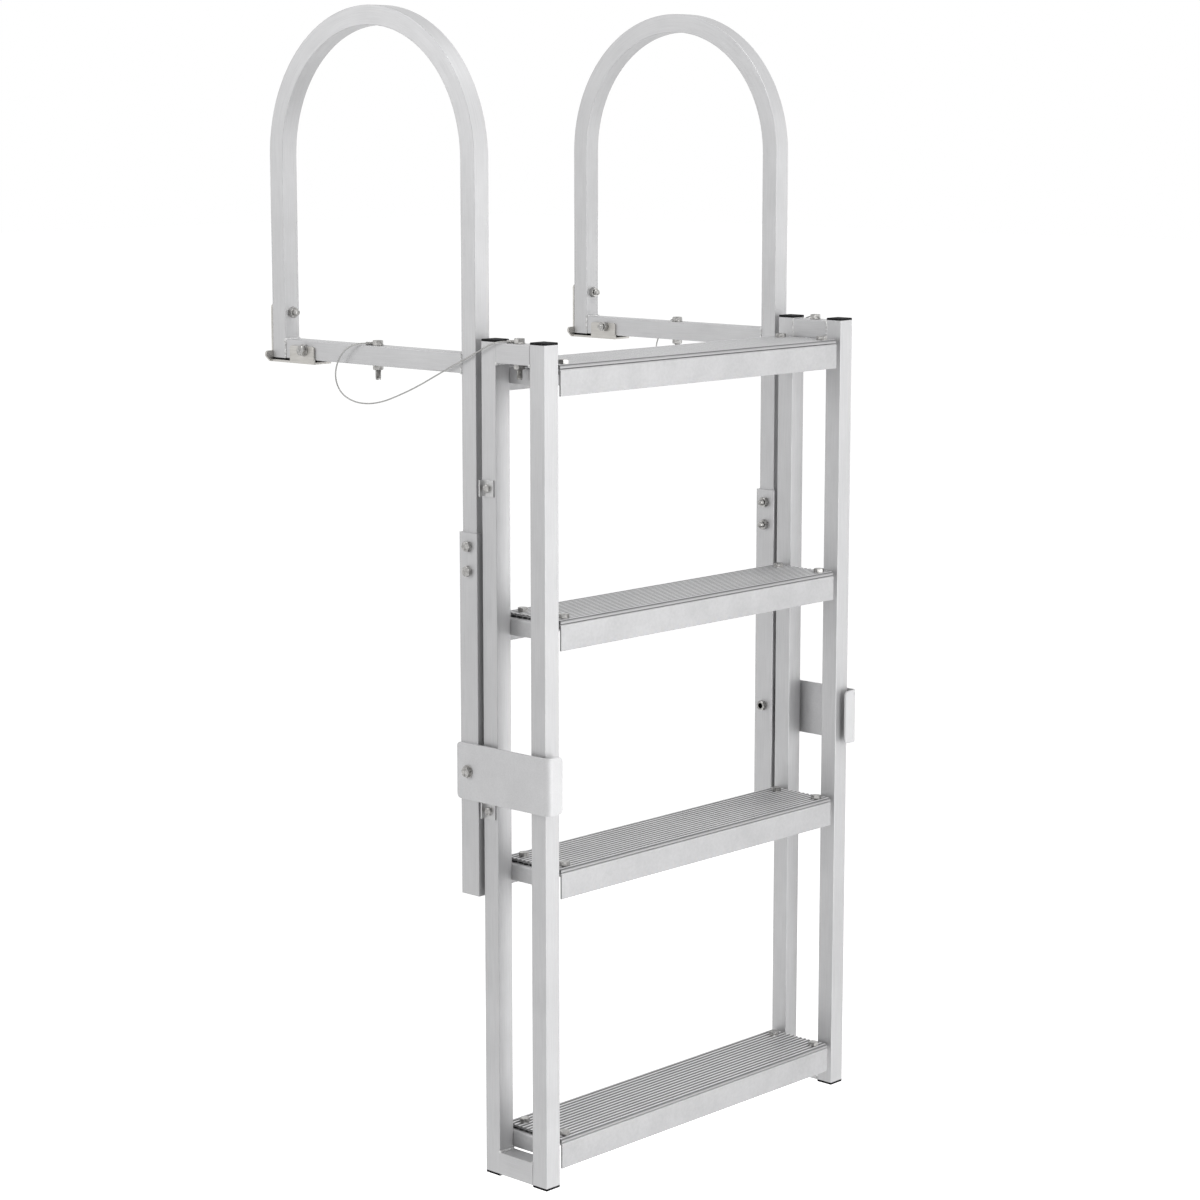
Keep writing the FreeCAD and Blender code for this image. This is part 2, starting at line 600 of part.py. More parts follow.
# Tread pan: a channel with two lips, and a flap folded down at each end between open corner notches
def make_pan(k, top):
    body = doc.addObject("PartDesign::Body", "tread_pan_body%d" % k)
    section = body_sketch(body, "YZ_Plane", "pan_section%d" % k)
    low, wall, far = "0 - tread_lip", "tread_wall", "pan_depth - tread_wall"
    outline(section, [("0", low), ("0", "0"), ("pan_depth", "0"), ("pan_depth", low),
                      (far, low), (far, "0 - tread_wall"), (wall, "0 - tread_wall"), (wall, low)])
    section.setExpression("AttachmentOffset.Base.z", bound("lip_gap"))
    pad = body.newObject("PartDesign::Pad", "pan_channel%d" % k)
    pad.Profile = section
    pad.setExpression("Length", bound("lip_length"))
    doc.recompute()
    outer = body.newObject("PartDesign::Fillet", "pan_folds_outer%d" % k)
    outer.Base = (pad, flat_edges(pad.Shape, [("0", "0"), ("pan_depth", "0")]))
    outer.setExpression("Radius", bound("fold_out"))
    doc.recompute()
    inner = body.newObject("PartDesign::Fillet", "pan_folds_inner%d" % k)
    inner.Base = (outer, flat_edges(outer.Shape, [(wall, "0 - tread_wall"), (far, "0 - tread_wall")]))
    inner.setExpression("Radius", bound("tread_bend"))
    body.Tip = inner
    doc.recompute()
    parts = [body]
    deep = "pan_depth - 2 * flap_notch"
    for side, x, inside, out_x, in_x in (
        ("left", "0", "tread_wall", "0", "tread_wall"),
        ("right", "pan_length - lip_gap", "pan_length - lip_gap - 1", "pan_length", "pan_length - tread_wall"),
    ):
        name = "pan_flap%d_%s" % (k, side)
        block = box(name + "_block", x, "flap_notch", "0 - tread_end", "lip_gap", deep, "tread_end")
        block = rounded(block, 1, "fold_out",
                        lambda at, out_x=out_x: abs(at.z) < 0.01 and abs(at.x - value_of(out_x)) < 0.01)
        room = box(name + "_room", inside, "flap_notch - 1", "0 - tread_end - 1", "lip_gap - tread_wall + 1",
                   deep + " + 2", "tread_end - tread_wall + 1")
        room = rounded(room, 1, "tread_bend",
                       lambda at, in_x=in_x: abs(at.z + size("tread_wall")) < 0.01
                       and abs(at.x - value_of(in_x)) < 0.01)
        parts.append(less(name, block, room))
    tray = join("pan_tray%d" % k, *parts)
    tie(tray, x="pan_x", y="pan_y", z=top)
    holes = [
        rod("pan_hole%d_%s" % (k, tag), x, y, "%s - tread_wall * 2" % top, "bolt / 2 + hole_gap", "tread_wall * 4")
        for tag, x, y in bolt_places()
    ]
    return less("pan_drilled%d" % k, tray, *holes)


# Ribbed plank: an extruded sheet with ribs above and feet below that stand on the pan
def make_cover(k, top):
    body = doc.addObject("PartDesign::Body", "tread_cover_body%d" % k)
    wide = "pan_depth - 2 * cover_inset"
    base = body_sketch(body, "YZ_Plane", "cover_base%d" % k)
    outline(base, [("0", "foot_high"), (wide, "foot_high"), (wide, "foot_high + cover_thick"),
                   ("0", "foot_high + cover_thick")])
    pad = body.newObject("PartDesign::Pad", "cover_sheet%d" % k)
    pad.Profile = base
    pad.setExpression("Length", bound("lip_length"))
    for name, count, pitch, low, high, foot, crest in (
        ("rib", "rib_count", "rib_pitch", "foot_high + cover_thick", "cover_high", "rib_base", "rib_crest"),
        ("foot", "foot_count", "foot_pitch", "0", "foot_high", "foot_wide", "foot_wide"),
    ):
        section = body_sketch(body, "YZ_Plane", "cover_%s%d" % (name, k))
        first = "(%s - (%s - 1) * %s) / 2" % (wide, count, pitch)
        outline(section, [("%s - %s / 2" % (first, foot), low), ("%s + %s / 2" % (first, foot), low),
                          ("%s + %s / 2" % (first, crest), high), ("%s - %s / 2" % (first, crest), high)])
        raised = body.newObject("PartDesign::Pad", "cover_%s_pad%d" % (name, k))
        raised.Profile = section
        raised.setExpression("Length", bound("lip_length"))
        doc.recompute()
        row = body.newObject("PartDesign::LinearPattern", "cover_%s_row%d" % (name, k))
        row.Originals = [raised]
        row.Direction = (section, ["H_Axis"])
        row.setExpression("Occurrences", bound(count))
        row.setExpression("Length", bound("(%s - 1) * %s" % (count, pitch)))
        body.Tip = row
        doc.recompute()
    tie(body, x="pan_x + lip_gap", y="pan_y + cover_inset", z=top)
    holes = [rod("cover_hole%d_%s" % (k, tag), x, y, "%s - 1" % top, "bolt / 2 + hole_gap", "cover_high + 2")
             for tag, x, y in bolt_places()]
    return less("cover_drilled%d" % k, body, *holes)


def make_tread_bolts(k, top):
    """The four bolts of a tread, with their nuts under the pan."""
    made = [
        hex_bolt("tread_bolt%d_%s" % (k, tag), x, y, "%s + cover_high" % top, (0, 0, 1),
                 "cover_high + tread_wall", "tread_bolt_out", washer=False)
        for tag, x, y in bolt_places()
    ]
    return group("tread_bolts%d" % k, *made)


for k, top in enumerate(TREAD_Z, start=1):
    node(make_pan(k, top), "tread_pan_%d" % k)
    node(make_cover(k, top), "tread_cover_%d" % k)
    node(make_tread_bolts(k, top), "tread_bolts_%d" % k)

# Stop clips on the rear stiles, with their screws
clips, screws = [], []
for name, low, at in (("lower", "clip_low_top - clip_high", CLIP_AT[0]), ("upper", "clip_up_low", CLIP_AT[1])):
    plate = box("clip_plate_" + name, "stile_face_x - clip_thick", "clip_y", low, "clip_thick", "clip_wide", "clip_high")
    flange = box("clip_flange_" + name, "stile_face_x - clip_flange", "clip_y + clip_wide - clip_thick", low,
                 "clip_flange", "clip_thick", "clip_high")
    bent = join("clip_bent_" + name, plate, flange)
    clips.append(less(
        "clip_" + name, bent,
        rod("clip_drill_" + name, "stile_face_x - 3 * clip_thick", "clip_y + clip_wide / 2", at,
            "screw / 2 + hole_gap", "6 * clip_thick", (1, 0, 0)),
    ))
    head = doc.addObject("Part::Prism", "clip_screw_head_" + name)
    head.Polygon = 6
    head.Placement.Rotation = FreeCAD.Rotation(Z, FreeCAD.Vector(-1, 0, 0))
    tie(head, Circumradius="screw_head_wide / 2", Height="screw_head_high", x="stile_face_x - clip_thick",
        y="clip_y + clip_wide / 2", z=at)
    shank = rod("clip_screw_shank_" + name, "stile_face_x - clip_thick - 1", "clip_y + clip_wide / 2", at,
                "screw / 2", "screw_long", (1, 0, 0))
    screws.append(join("clip_screw_" + name, head, shank))
pair(group("stop_clips", *clips), "stop_clips")
pair(group("clip_screws", *screws), "clip_screws")

# Upright bolts that carry the tether's two eyes
pair(make_hung_bolt("rail_bolt", "0", "rail_bolt_y", "rail_z + tube_half"), "rail_bolt")
pair(make_hung_bolt("cross_bolt", "stile_x", "cross_bolt_y", "cross_z + tube_half"), "cross_bolt")


# Tether wire: hand-chosen points from the rail bolt's eye to the cross bolt's eye
WIRE_POINTS = [
    (-22, -113, 25), (-22, -98, 9), (-21, -91, -13), (-19, -99, -33), (-18, -121, -43), (-18, -149, -45),
    (-18, -180, -40), (-18, -212, -29), (-18, -245, -16), (-18, -277, -1), (-17.5, -309, 14),
    (-17, -340, 28), (-16.5, -367, 41),
]


def wire_path(points):
    """Straight runs joined by tangent arcs, and the arcs' radii."""
    edges, radii, at = [], [], points[0]
    for a, b, c in zip(points, points[1:], points[2:]):
        first, second = (b - a), (c - b)
        turn = first.getAngle(second)
        cut = 0.45 * min(first.Length, second.Length)
        radius = cut / math.tan(turn / 2)
        radii.append(radius)
        start = b - first.normalize() * cut
        end = b + second.normalize() * cut
        inward = (start + end) * 0.5 - b
        centre_way = math.hypot(radius, cut)
        centre = b + inward.normalize() * centre_way
        middle_point = centre + (b - centre).normalize() * radius
        edges.append(Part.LineSegment(at, start).toShape())
        edges.append(Part.Arc(start, middle_point, end).toShape())
        at = end
    edges.append(Part.LineSegment(at, points[-1]).toShape())
    return Part.Wire(edges), radii


def make_wire():
    """The slack tether of the left side, from the rail bolt's ferrule to the cross bolt's."""
    lift = size("ferrule_wide") / 2 + size("ferrule_lift")
    first = FreeCAD.Vector(0, size("rail_bolt_y"), size("rail_z") + size("tube_half") + lift)
    last = FreeCAD.Vector(size("stile_x"), size("cross_bolt_y"), size("cross_z") + size("tube_half") + lift)
    reach, behind = size("ferrule_reach"), size("ferrule_reach") + size("wire_straight")
    path, radii = wire_path(
        [first + WAY * reach, first + WAY * behind]
        + [FreeCAD.Vector(*p) for p in WIRE_POINTS]
        + [last + WAY * behind, last + WAY * reach]
    )
    print("wire", round(path.Length, 1), "mm, radii", " ".join("%.0f" % r for r in radii))
    section = Part.Wire([Part.Circle(first + WAY * reach, WAY, size("wire") / 2).toShape()])
    tube = path.makePipeShell([section], True, False)
    print("wire volume ratio %.4f" % (tube.Volume / (math.pi * size("wire") ** 2 / 4 * path.Length)))
    made = doc.addObject("Part::Feature", "tether_wire")
    made.Shape = tube
    return made


pair(make_wire(), "tether_wire")

doc.recompute()
bad = [o.Name for o in doc.Objects if "Invalid" in o.State or "Error" in o.State]
if bad:
    raise RuntimeError("failed objects: " + ", ".join(bad))
for piece in NODES:
    shape = piece.Shape
    if shape.isNull() or not shape.isValid() or not shape.Solids:
        raise RuntimeError("bad shape: " + piece.Label)
for piece in NODES:
    piece.Shape.exportStep("parts/%s.step" % piece.Label)
box_all = Part.makeCompound([piece.Shape for piece in NODES]).BoundBox
print("pieces", len(NODES))
print("box %.1f %.1f %.1f to %.1f %.1f %.1f" % (box_all.XMin, box_all.YMin, box_all.ZMin, box_all.XMax, box_all.YMax, box_all.ZMax))
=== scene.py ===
"""Looks of a sliding dock ladder: bent hoop frames, ribbed treads and wire tethers."""

import logging
import math
from collections.abc import Sequence
from dataclasses import dataclass
from enum import Enum
from typing import ClassVar

import bmesh
import bpy
from mathutils import Matrix, Vector


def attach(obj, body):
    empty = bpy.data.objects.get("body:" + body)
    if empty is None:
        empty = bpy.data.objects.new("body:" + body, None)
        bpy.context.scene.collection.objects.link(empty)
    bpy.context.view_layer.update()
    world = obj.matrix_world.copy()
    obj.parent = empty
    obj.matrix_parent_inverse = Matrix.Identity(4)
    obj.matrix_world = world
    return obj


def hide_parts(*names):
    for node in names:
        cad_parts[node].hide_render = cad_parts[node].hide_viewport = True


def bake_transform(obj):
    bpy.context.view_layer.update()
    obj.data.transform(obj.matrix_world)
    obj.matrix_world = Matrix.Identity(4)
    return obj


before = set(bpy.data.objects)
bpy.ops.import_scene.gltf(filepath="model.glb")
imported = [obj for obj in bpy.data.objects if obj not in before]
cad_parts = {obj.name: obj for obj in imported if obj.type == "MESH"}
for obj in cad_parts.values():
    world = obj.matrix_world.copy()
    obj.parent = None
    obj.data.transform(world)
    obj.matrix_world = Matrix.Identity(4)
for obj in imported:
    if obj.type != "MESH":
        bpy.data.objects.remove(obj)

LOG = logging.getLogger("dock_ladder")
# One millimetre in metres
MM = 0.001
# The plane midway between the ladder's two sides, in millimetres
MIDDLE = 294.125
# Heights of the upper faces of the four treads' pans, in millimetres
TREAD_TOPS = (17.0, -305.0, -627.0, -987.0)
# Edges sharper than this many degrees stay sharp
CREASE = 35.0
Outline = list[tuple[float, float]]
Section = tuple[Vector, Vector, Vector]
Point = tuple[float, float, float]


class Side(Enum):
    """The two sides of the ladder, seen from the water."""

    LEFT = "left"
    RIGHT = "right"


class Body(Enum):
    """The two rigid bodies of the part."""

    DOCK = "dock_frame"
    LADDER = "ladder"


class Slot(Enum):
    """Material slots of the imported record."""

    TUBE = "tube"
    SHEET = "sheet"
    STAINLESS = "stainless"
    CAP = "cap"
    WIRE = "wire"


class Pattern(Enum):
    """What a finish reads its pattern from."""

    ALONG_TUBE = "grain"
    OBJECT = "object"


def linear(code: str) -> tuple[float, float, float, float]:
    """Turns an sRGB hex colour into the linear colour that a shader takes.

    Args:
        code: Six hex digits after a hash.

    Returns:
        Linear red, green and blue with an alpha of one.
    """
    parts = [int(code[k:k + 2], 16) / 255 for k in (1, 3, 5)]
    return (*(c / 12.92 if c <= 0.04045 else ((c + 0.055) / 1.055) ** 2.4 for c in parts), 1.0)


def add_node(tree: bpy.types.NodeTree, kind: str, inputs: dict | None = None,
             **settings: object) -> bpy.types.Node:
    """Adds one node with its settings, its values and its links.

    Args:
        tree: The node tree that gets the node.
        kind: The node's type name.
        inputs: Values or output sockets by the input's name or number.
        **settings: Properties of the node itself.

    Returns:
        The new node.
    """
    node = tree.nodes.new(kind)
    for key, value in settings.items():
        setattr(node, key, value)
    for key, value in (inputs or {}).items():
        if isinstance(value, bpy.types.NodeSocket):
            tree.links.new(value, node.inputs[key])
        else:
            node.inputs[key].default_value = value
    return node


def linked(name: str, data: bpy.types.ID) -> bpy.types.Object:
    """Makes an object of some data and puts it in the scene.

    Args:
        name: Name of the object.
        data: Its mesh, curve, lamp or camera.

    Returns:
        The object.
    """
    made = bpy.data.objects.new(name, data)
    bpy.context.scene.collection.objects.link(made)
    return made


def drop(thing: bpy.types.Object) -> None:
    """Removes a scratch object and its mesh.

    Args:
        thing: The object.
    """
    scratch = thing.data
    bpy.data.objects.remove(thing)
    bpy.data.meshes.remove(scratch)


@dataclass(frozen=True)
class Finish:
    """One real material with the way its surface was made."""

    name: str
    light: str
    dark: str
    metallic: float
    smooth: float
    rough: float
    pattern: Pattern
    grain_mm: tuple[float, float, float]
    bump_mm: float
    patch_mm: float = 70.0
    patch_share: float = 0.5
    specular: float = 0.5
    tone_span: tuple[float, float] = (0.32, 0.68)

    def material(self) -> bpy.types.Material:
        """Builds the material once and returns it."""
        found = bpy.data.materials.get(self.name)
        if found:
            return found
        made = bpy.data.materials.new(self.name)
        made.use_nodes = True
        tree = made.node_tree
        tree.nodes.clear()
        out = add_node(tree, "ShaderNodeOutputMaterial")
        shader = add_node(tree, "ShaderNodeBsdfPrincipled", {"Metallic": self.metallic,
                                                             "Specular IOR Level": self.specular})
        tree.links.new(shader.outputs["BSDF"], out.inputs["Surface"])
        self.dress(tree, shader)
        return made

    def place(self, tree: bpy.types.NodeTree) -> bpy.types.NodeSocket:
        """Returns the coordinates that the pattern follows, in metres."""
        if self.pattern is Pattern.OBJECT:
            return add_node(tree, "ShaderNodeTexCoord").outputs["Object"]
        return add_node(tree, "ShaderNodeUVMap", uv_map=self.pattern.value).outputs["UV"]

    def grain(self, tree: bpy.types.NodeTree) -> bpy.types.NodeSocket:
        """Returns the fine grain, from 0 to 1."""
        scale = tuple(1 / (MM * size) for size in self.grain_mm)
        spread = add_node(tree, "ShaderNodeMapping", {"Vector": self.place(tree), "Scale": scale})
        noise = add_node(tree, "ShaderNodeTexNoise", {"Vector": spread.outputs["Vector"], "Scale": 1.0,
                                                      "Detail": 3.0, "Roughness": 0.55})
        return noise.outputs["Fac"]

    def tone(self, tree: bpy.types.NodeTree, grain: bpy.types.NodeSocket) -> bpy.types.NodeSocket:
        """Mixes the grain with broad uneven patches.

        Args:
            tree: The material's node tree.
            grain: The fine grain.

        Returns:
            How light each place is, from 0 to 1.
        """
        where = add_node(tree, "ShaderNodeTexCoord").outputs["Object"]
        patches = add_node(tree, "ShaderNodeTexNoise", {"Vector": where, "Scale": 1 / (MM * self.patch_mm),
                                                        "Detail": 4.0, "Roughness": 0.6})
        both = add_node(tree, "ShaderNodeMix", {"Factor": self.patch_share, "A": grain,
                                                "B": patches.outputs["Fac"]}, data_type="FLOAT")
        low, high = self.tone_span
        spread = add_node(tree, "ShaderNodeMapRange", {"Value": both.outputs["Result"], "From Min": low,
                                                       "From Max": high})
        return spread.outputs["Result"]

    def tint(self, tree: bpy.types.NodeTree, tone: bpy.types.NodeSocket) -> bpy.types.NodeSocket:
        """Turns a tone into a colour between the dark and the light one.

        Args:
            tree: The material's node tree.
            tone: How light each place is.

        Returns:
            The colour.
        """
        ramp = add_node(tree, "ShaderNodeValToRGB", {"Fac": tone})
        ramp.color_ramp.elements[0].color = linear(self.dark)
        ramp.color_ramp.elements[1].color = linear(self.light)
        return ramp.outputs["Color"]

    def emboss(self, tree: bpy.types.NodeTree, shader: bpy.types.Node,
               height: bpy.types.NodeSocket) -> None:
        """Presses a height into the surface as a fine bump."""
        bump = add_node(tree, "ShaderNodeBump", {"Height": height, "Strength": 1.0,
                                                 "Distance": MM * self.bump_mm})
        tree.links.new(bump.outputs["Normal"], shader.inputs["Normal"])

    def dress(self, tree: bpy.types.NodeTree, shader: bpy.types.Node) -> None:
        """Lays grain, uneven patches and a fine bump over the surface.

        Args:
            tree: The material's node tree.
            shader: Its Principled shader.
        """
        grain = self.grain(tree)
        tone = self.tone(tree, grain)
        rough = add_node(tree, "ShaderNodeMapRange", {"Value": tone, "To Min": self.rough,
                                                      "To Max": self.smooth})
        tree.links.new(self.tint(tree, tone), shader.inputs["Base Color"])
        tree.links.new(rough.outputs["Result"], shader.inputs["Roughness"])
        self.emboss(tree, shader, grain)


@dataclass(frozen=True)
class PlankFinish(Finish):
    """Ribbed plank: its crests are worn bright, and painted shade darkens its valleys and its edges."""

    # How much of the tone comes from the crest layer, which holds wear on the crests and painted shade
    # below them
    wear_share: float = 0.92

    def tone(self, tree: bpy.types.NodeTree, grain: bpy.types.NodeSocket) -> bpy.types.NodeSocket:
        """Mixes the sheet's own tone with the height over the ribs, which paints shade low between them.

        Args:
            tree: The material's node tree.
            grain: The fine grain.

        Returns:
            How light each place is, from 0 to 1.
        """
        plain = super().tone(tree, grain)
        crest = add_node(tree, "ShaderNodeAttribute", attribute_name="crest")
        worn = add_node(tree, "ShaderNodeMix", {"Factor": self.wear_share, "A": plain,
                                                "B": crest.outputs["Fac"]}, data_type="FLOAT")
        return worn.outputs["Result"]


@dataclass(frozen=True)
class WireFinish(Finish):
    """Stranded wire: the strands run round it as a steep screw."""

    strands: int = 6
    lay_mm: float = 13.0

    def dress(self, tree: bpy.types.NodeTree, shader: bpy.types.Node) -> None:
        """Lays the strands over the wire, with painted shade dark in the grooves between them.

        Args:
            tree: The material's node tree.
            shader: Its Principled shader.
        """
        parts = add_node(tree, "ShaderNodeSeparateXYZ", {"Vector": self.place(tree)})
        turn = add_node(tree, "ShaderNodeMath", {0: parts.outputs["Y"], 1: 1 / (MM * self.lay_mm)},
                        operation="MULTIPLY")
        lay = add_node(tree, "ShaderNodeMath", {0: parts.outputs["X"], 1: turn.outputs[0]}, operation="ADD")
        angle = add_node(tree, "ShaderNodeMath", {0: lay.outputs[0], 1: math.pi * self.strands},
                         operation="MULTIPLY")
        wave = add_node(tree, "ShaderNodeMath", {0: angle.outputs[0]}, operation="SINE")
        crest = add_node(tree, "ShaderNodeMath", {0: wave.outputs[0]}, operation="ABSOLUTE")
        # The grooves between strands get the dark colour: painted shade
        tree.links.new(self.tint(tree, crest.outputs[0]), shader.inputs["Base Color"])
        shader.inputs["Roughness"].default_value = self.rough
        self.emboss(tree, shader, crest.outputs[0])


# Satin anodised aluminium, extruded and etched: an even, soft silver grey with faint lines along the tube
TUBE = Finish("satin_anodised_aluminium_tube", light="#C7C7C8", dark="#BCBCBD", metallic=0.6, smooth=0.46,
              rough=0.56, pattern=Pattern.ALONG_TUBE, grain_mm=(1.3, 60.0, 4.0), bump_mm=0.012,
              patch_mm=70.0, patch_share=0.4)
# Blasted aluminium sheet: a little flatter and paler than the tubes, with a fine even speckle
SHEET = Finish("blasted_aluminium_sheet", light="#D4D4D5", dark="#C9C9CA", metallic=0.6, smooth=0.62,
               rough=0.72, pattern=Pattern.OBJECT, grain_mm=(1.4, 1.4, 1.4), bump_mm=0.012)
# Mill finish aluminium sheet of the treads' pans: a shade greyer, with soft cloudy handling marks
PAN = Finish("mill_finish_aluminium_sheet", light="#BFBFC0", dark="#B3B3B4", metallic=0.6, smooth=0.50,
             rough=0.60, pattern=Pattern.OBJECT, grain_mm=(4.0, 4.0, 4.0), bump_mm=0.008, patch_mm=45.0,
             patch_share=0.6)
# Extruded tread plank: worn bright on its crests, with painted shade dark between them
PLANK = PlankFinish("extruded_aluminium_tread_plank", light="#E8E8E9", dark="#636364", metallic=0.6,
                    smooth=0.42, rough=0.60, pattern=Pattern.OBJECT, grain_mm=(40.0, 1.2, 1.2),
                    bump_mm=0.02)
# Brushed stainless steel plate: a shade warmer and darker than the aluminium
PLATE = Finish("brushed_stainless_plate", light="#C4C2BE", dark="#ABA9A5", metallic=0.9, smooth=0.36,
               rough=0.48, pattern=Pattern.OBJECT, grain_mm=(1.0, 30.0, 1.0), bump_mm=0.015,
               patch_mm=40.0)
# Pickled stainless strip: pale and even, close to the aluminium beside it
CLIP = Finish("pickled_stainless_strip", light="#CCCCCC", dark="#B4B4B4", metallic=0.8, smooth=0.36,
              rough=0.48, pattern=Pattern.OBJECT, grain_mm=(1.0, 1.0, 20.0), bump_mm=0.012, patch_mm=30.0)
# Cold formed stainless hardware: small facets, bright where they face a lamp
HARDWARE = Finish("cold_formed_stainless_hardware", light="#C8C7C5", dark="#696866", metallic=1.0,
                  smooth=0.26, rough=0.38, pattern=Pattern.OBJECT, grain_mm=(2.5, 2.5, 2.5), bump_mm=0.02,
                  patch_mm=6.0)
# Welded aluminium: pale, rippled and dusty
WELD = Finish("aluminium_weld_bead", light="#F2F2F2", dark="#929292", metallic=0.6, smooth=0.34,
              rough=0.55, pattern=Pattern.OBJECT, grain_mm=(2.0, 2.0, 2.0), bump_mm=0.06, patch_mm=7.0)
# Moulded black polyethylene: soft, dull shine with a fine pebble
PLUG = Finish("moulded_black_polyethylene", light="#242425", dark="#171718", metallic=0.0, smooth=0.60,
              rough=0.72, pattern=Pattern.OBJECT, grain_mm=(1.2, 1.2, 1.2), bump_mm=0.03, patch_mm=15.0,
              patch_share=0.5, specular=0.08)
# Stranded stainless wire rope: grey, with painted shade dark in the grooves between its strands
ROPE = WireFinish("stranded_stainless_wire", light="#B6B6B4", dark="#5A5A59", metallic=1.0, smooth=0.30,
                  rough=0.34, pattern=Pattern.ALONG_TUBE, grain_mm=(1.0, 1.0, 1.0), bump_mm=0.15)


def rounded_square(half: float, radius: float, steps: int = 3) -> Outline:
    """Outline of a square with round corners, in millimetres.

    Args:
        half: Half of its side.
        radius: Corner radius.
        steps: Faces in each corner.

    Returns:
        Its points, counter-clockwise.
    """
    points = []
    for corner, (x, y) in enumerate(((1, 1), (-1, 1), (-1, -1), (1, -1))):
        for step in range(steps + 1):
            angle = math.radians(90 * corner + 90 * step / steps)
            points.append((x * (half - radius) + radius * math.cos(angle),
                           y * (half - radius) + radius * math.sin(angle)))
    return points


def rectangle(left: float, right: float, low: float, high: float) -> Outline:
    """Outline of a rectangle, counter-clockwise, in millimetres."""
    return [(left, low), (right, low), (right, high), (left, high)]


def disc(wide: float, thick: float, edge: float) -> Outline:
    """Profile of a flat disc with broken edges, as radius and height in millimetres."""
    r = wide / 2
    return [(r - edge, 0), (r, edge), (r, thick - edge), (r - edge, thick)]


def toward(at: Sequence[float], way: Sequence[float]) -> Matrix:
    """Matrix that stands a form's own z axis along a direction.

    Args:
        at: Where the form's origin goes.
        way: Direction of its z axis.

    Returns:
        The placing matrix.
    """
    return Matrix.Translation(Vector(at)) @ Vector(way).to_track_quat("Z", "Y").to_matrix().to_4x4()


class Form:
    """A mesh in millimetres that is put together from closed shells."""

    # Points closer than this, in metres, become one
    MERGE: ClassVar[float] = 1e-7
    # Faces round a hexagon, six to each flat
    HEX_FACES: ClassVar[int] = 36
    # The chamfer's circle against the width over the flats, and how steeply it falls outside that circle
    CHAMFER_CIRCLE: ClassVar[float] = 0.95
    CHAMFER_SLOPE: ClassVar[float] = 0.6

    def __init__(self) -> None:
        """Starts with no faces."""
        self.mesh = bmesh.new()
        self.grain = self.mesh.loops.layers.uv.new(Pattern.ALONG_TUBE.value)

    def skin(self, rings: Sequence[Sequence[Vector]], closed: bool = False) -> None:
        """Joins rings of points to one closed shell.

        Args:
            rings: Rings with the same number of points.
            closed: Whether the last ring leads back to the first; if not, both ends get a face.
        """
        rows = [[self.mesh.verts.new(point) for point in ring] for ring in rings]
        count = len(rows[0])
        around = [0.0]
        for k in range(count):
            around.append(around[-1] + (rings[0][(k + 1) % count] - rings[0][k]).length)
        along = [0.0]
        for first, second in zip(rings, rings[1:]):
            along.append(along[-1] + (second[0] - first[0]).length)
        along.append(0.0)
        steps = range(len(rows) if closed else len(rows) - 1)
        for r in steps:
            low, high = rows[r], rows[(r + 1) % len(rows)]
            for k in range(count):
                n = (k + 1) % count
                face = self.mesh.faces.new((low[k], low[n], high[n], high[k]))
                places = ((around[k], along[r]), (around[k + 1], along[r]),
                          (around[k + 1], along[r + 1]), (around[k], along[r + 1]))
                for loop, (u, v) in zip(face.loops, places):
                    loop[self.grain].uv = (u * MM, v * MM)
        if not closed:
            self.mesh.faces.new(rows[0])
            self.mesh.faces.new(rows[-1])

    def sweep(self, sections: Sequence[Section], outer: Outline, inner: Outline | None = None) -> None:
        """Carries an outline along a row of sections.

        Args:
            sections: Origin and two axes of each section.
            outer: Outline of the solid.
            inner: Outline of its hollow, with as many points, or None.
        """
        def ring(section: Section, outline: Outline) -> list[Vector]:
            """Points of one outline in one section."""
            at, first, second = section
            return [at + first * a + second * b for a, b in outline]

        rings = [ring(s, outer) for s in sections]
        if inner:
            rings += [ring(s, inner) for s in reversed(sections)]
        self.skin(rings, closed=inner is not None)

    def bar(self, axis: str, middle: tuple[float, float], low: float, high: float, outer: Outline,
            inner: Outline | None = None) -> None:
        """A straight bar or tube along one axis.

        Args:
            axis: "x", "y" or "z".
            middle: The two other coordinates of its middle line, in x, y, z order.
            low: Where it starts on its axis.
            high: Where it ends.
            outer: Its outline.
            inner: Outline of its hollow, or None.
        """
        units = [Vector((1, 0, 0)), Vector((0, 1, 0)), Vector((0, 0, 1))]
        along = "xyz".index(axis)
        first, second = [units[k] for k in range(3) if k != along]
        base = first * middle[0] + second * middle[1]
        ends = [(base + units[along] * s, first, second) for s in (low, high)]
        self.sweep(ends, outer, inner)

    def lathe(self, profile: Outline, place: Matrix, count: int = 20) -> None:
        """A turned form.

        Args:
            profile: Radius and height of each ring, from one end to the other.
            place: Where its own z axis goes.
            count: Faces round it.
        """
        rings = []
        turns = [2 * math.pi * k / count for k in range(count)]
        for radius, height in profile:
            rings.append([place @ Vector((radius * math.cos(a), radius * math.sin(a), height))
                          for a in turns])
        self.skin(rings)

    def hexagon(self, wide: float, low: float, high: float, place: Matrix, both: bool = False) -> None:
        """A hexagonal head or nut with chamfered corners.

        Args:
            wide: Width over the corners.
            low: Its seat on its own z axis.
            high: Its outer face.
            place: Where its own z axis goes.
            both: Whether the seat's corners are chamfered too.
        """
        flat = wide / 2 * math.cos(math.pi / 6)
        top = self.CHAMFER_CIRCLE * flat
        turns = [2 * math.pi * k / self.HEX_FACES for k in range(self.HEX_FACES)]
        reach = [flat / math.cos((a % (math.pi / 3)) - math.pi / 6) for a in turns]

        def ring(height: float, fall: float, round_off: bool) -> list[Vector]:
            """Points at one height, on the flats or on the chamfer's circle."""
            points = []
            for a, r in zip(turns, reach):
                far = top if round_off else r
                z = height - (0 if round_off else fall * (r - top) * self.CHAMFER_SLOPE)
                points.append(place @ Vector((far * math.cos(a), far * math.sin(a), z)))
            return points

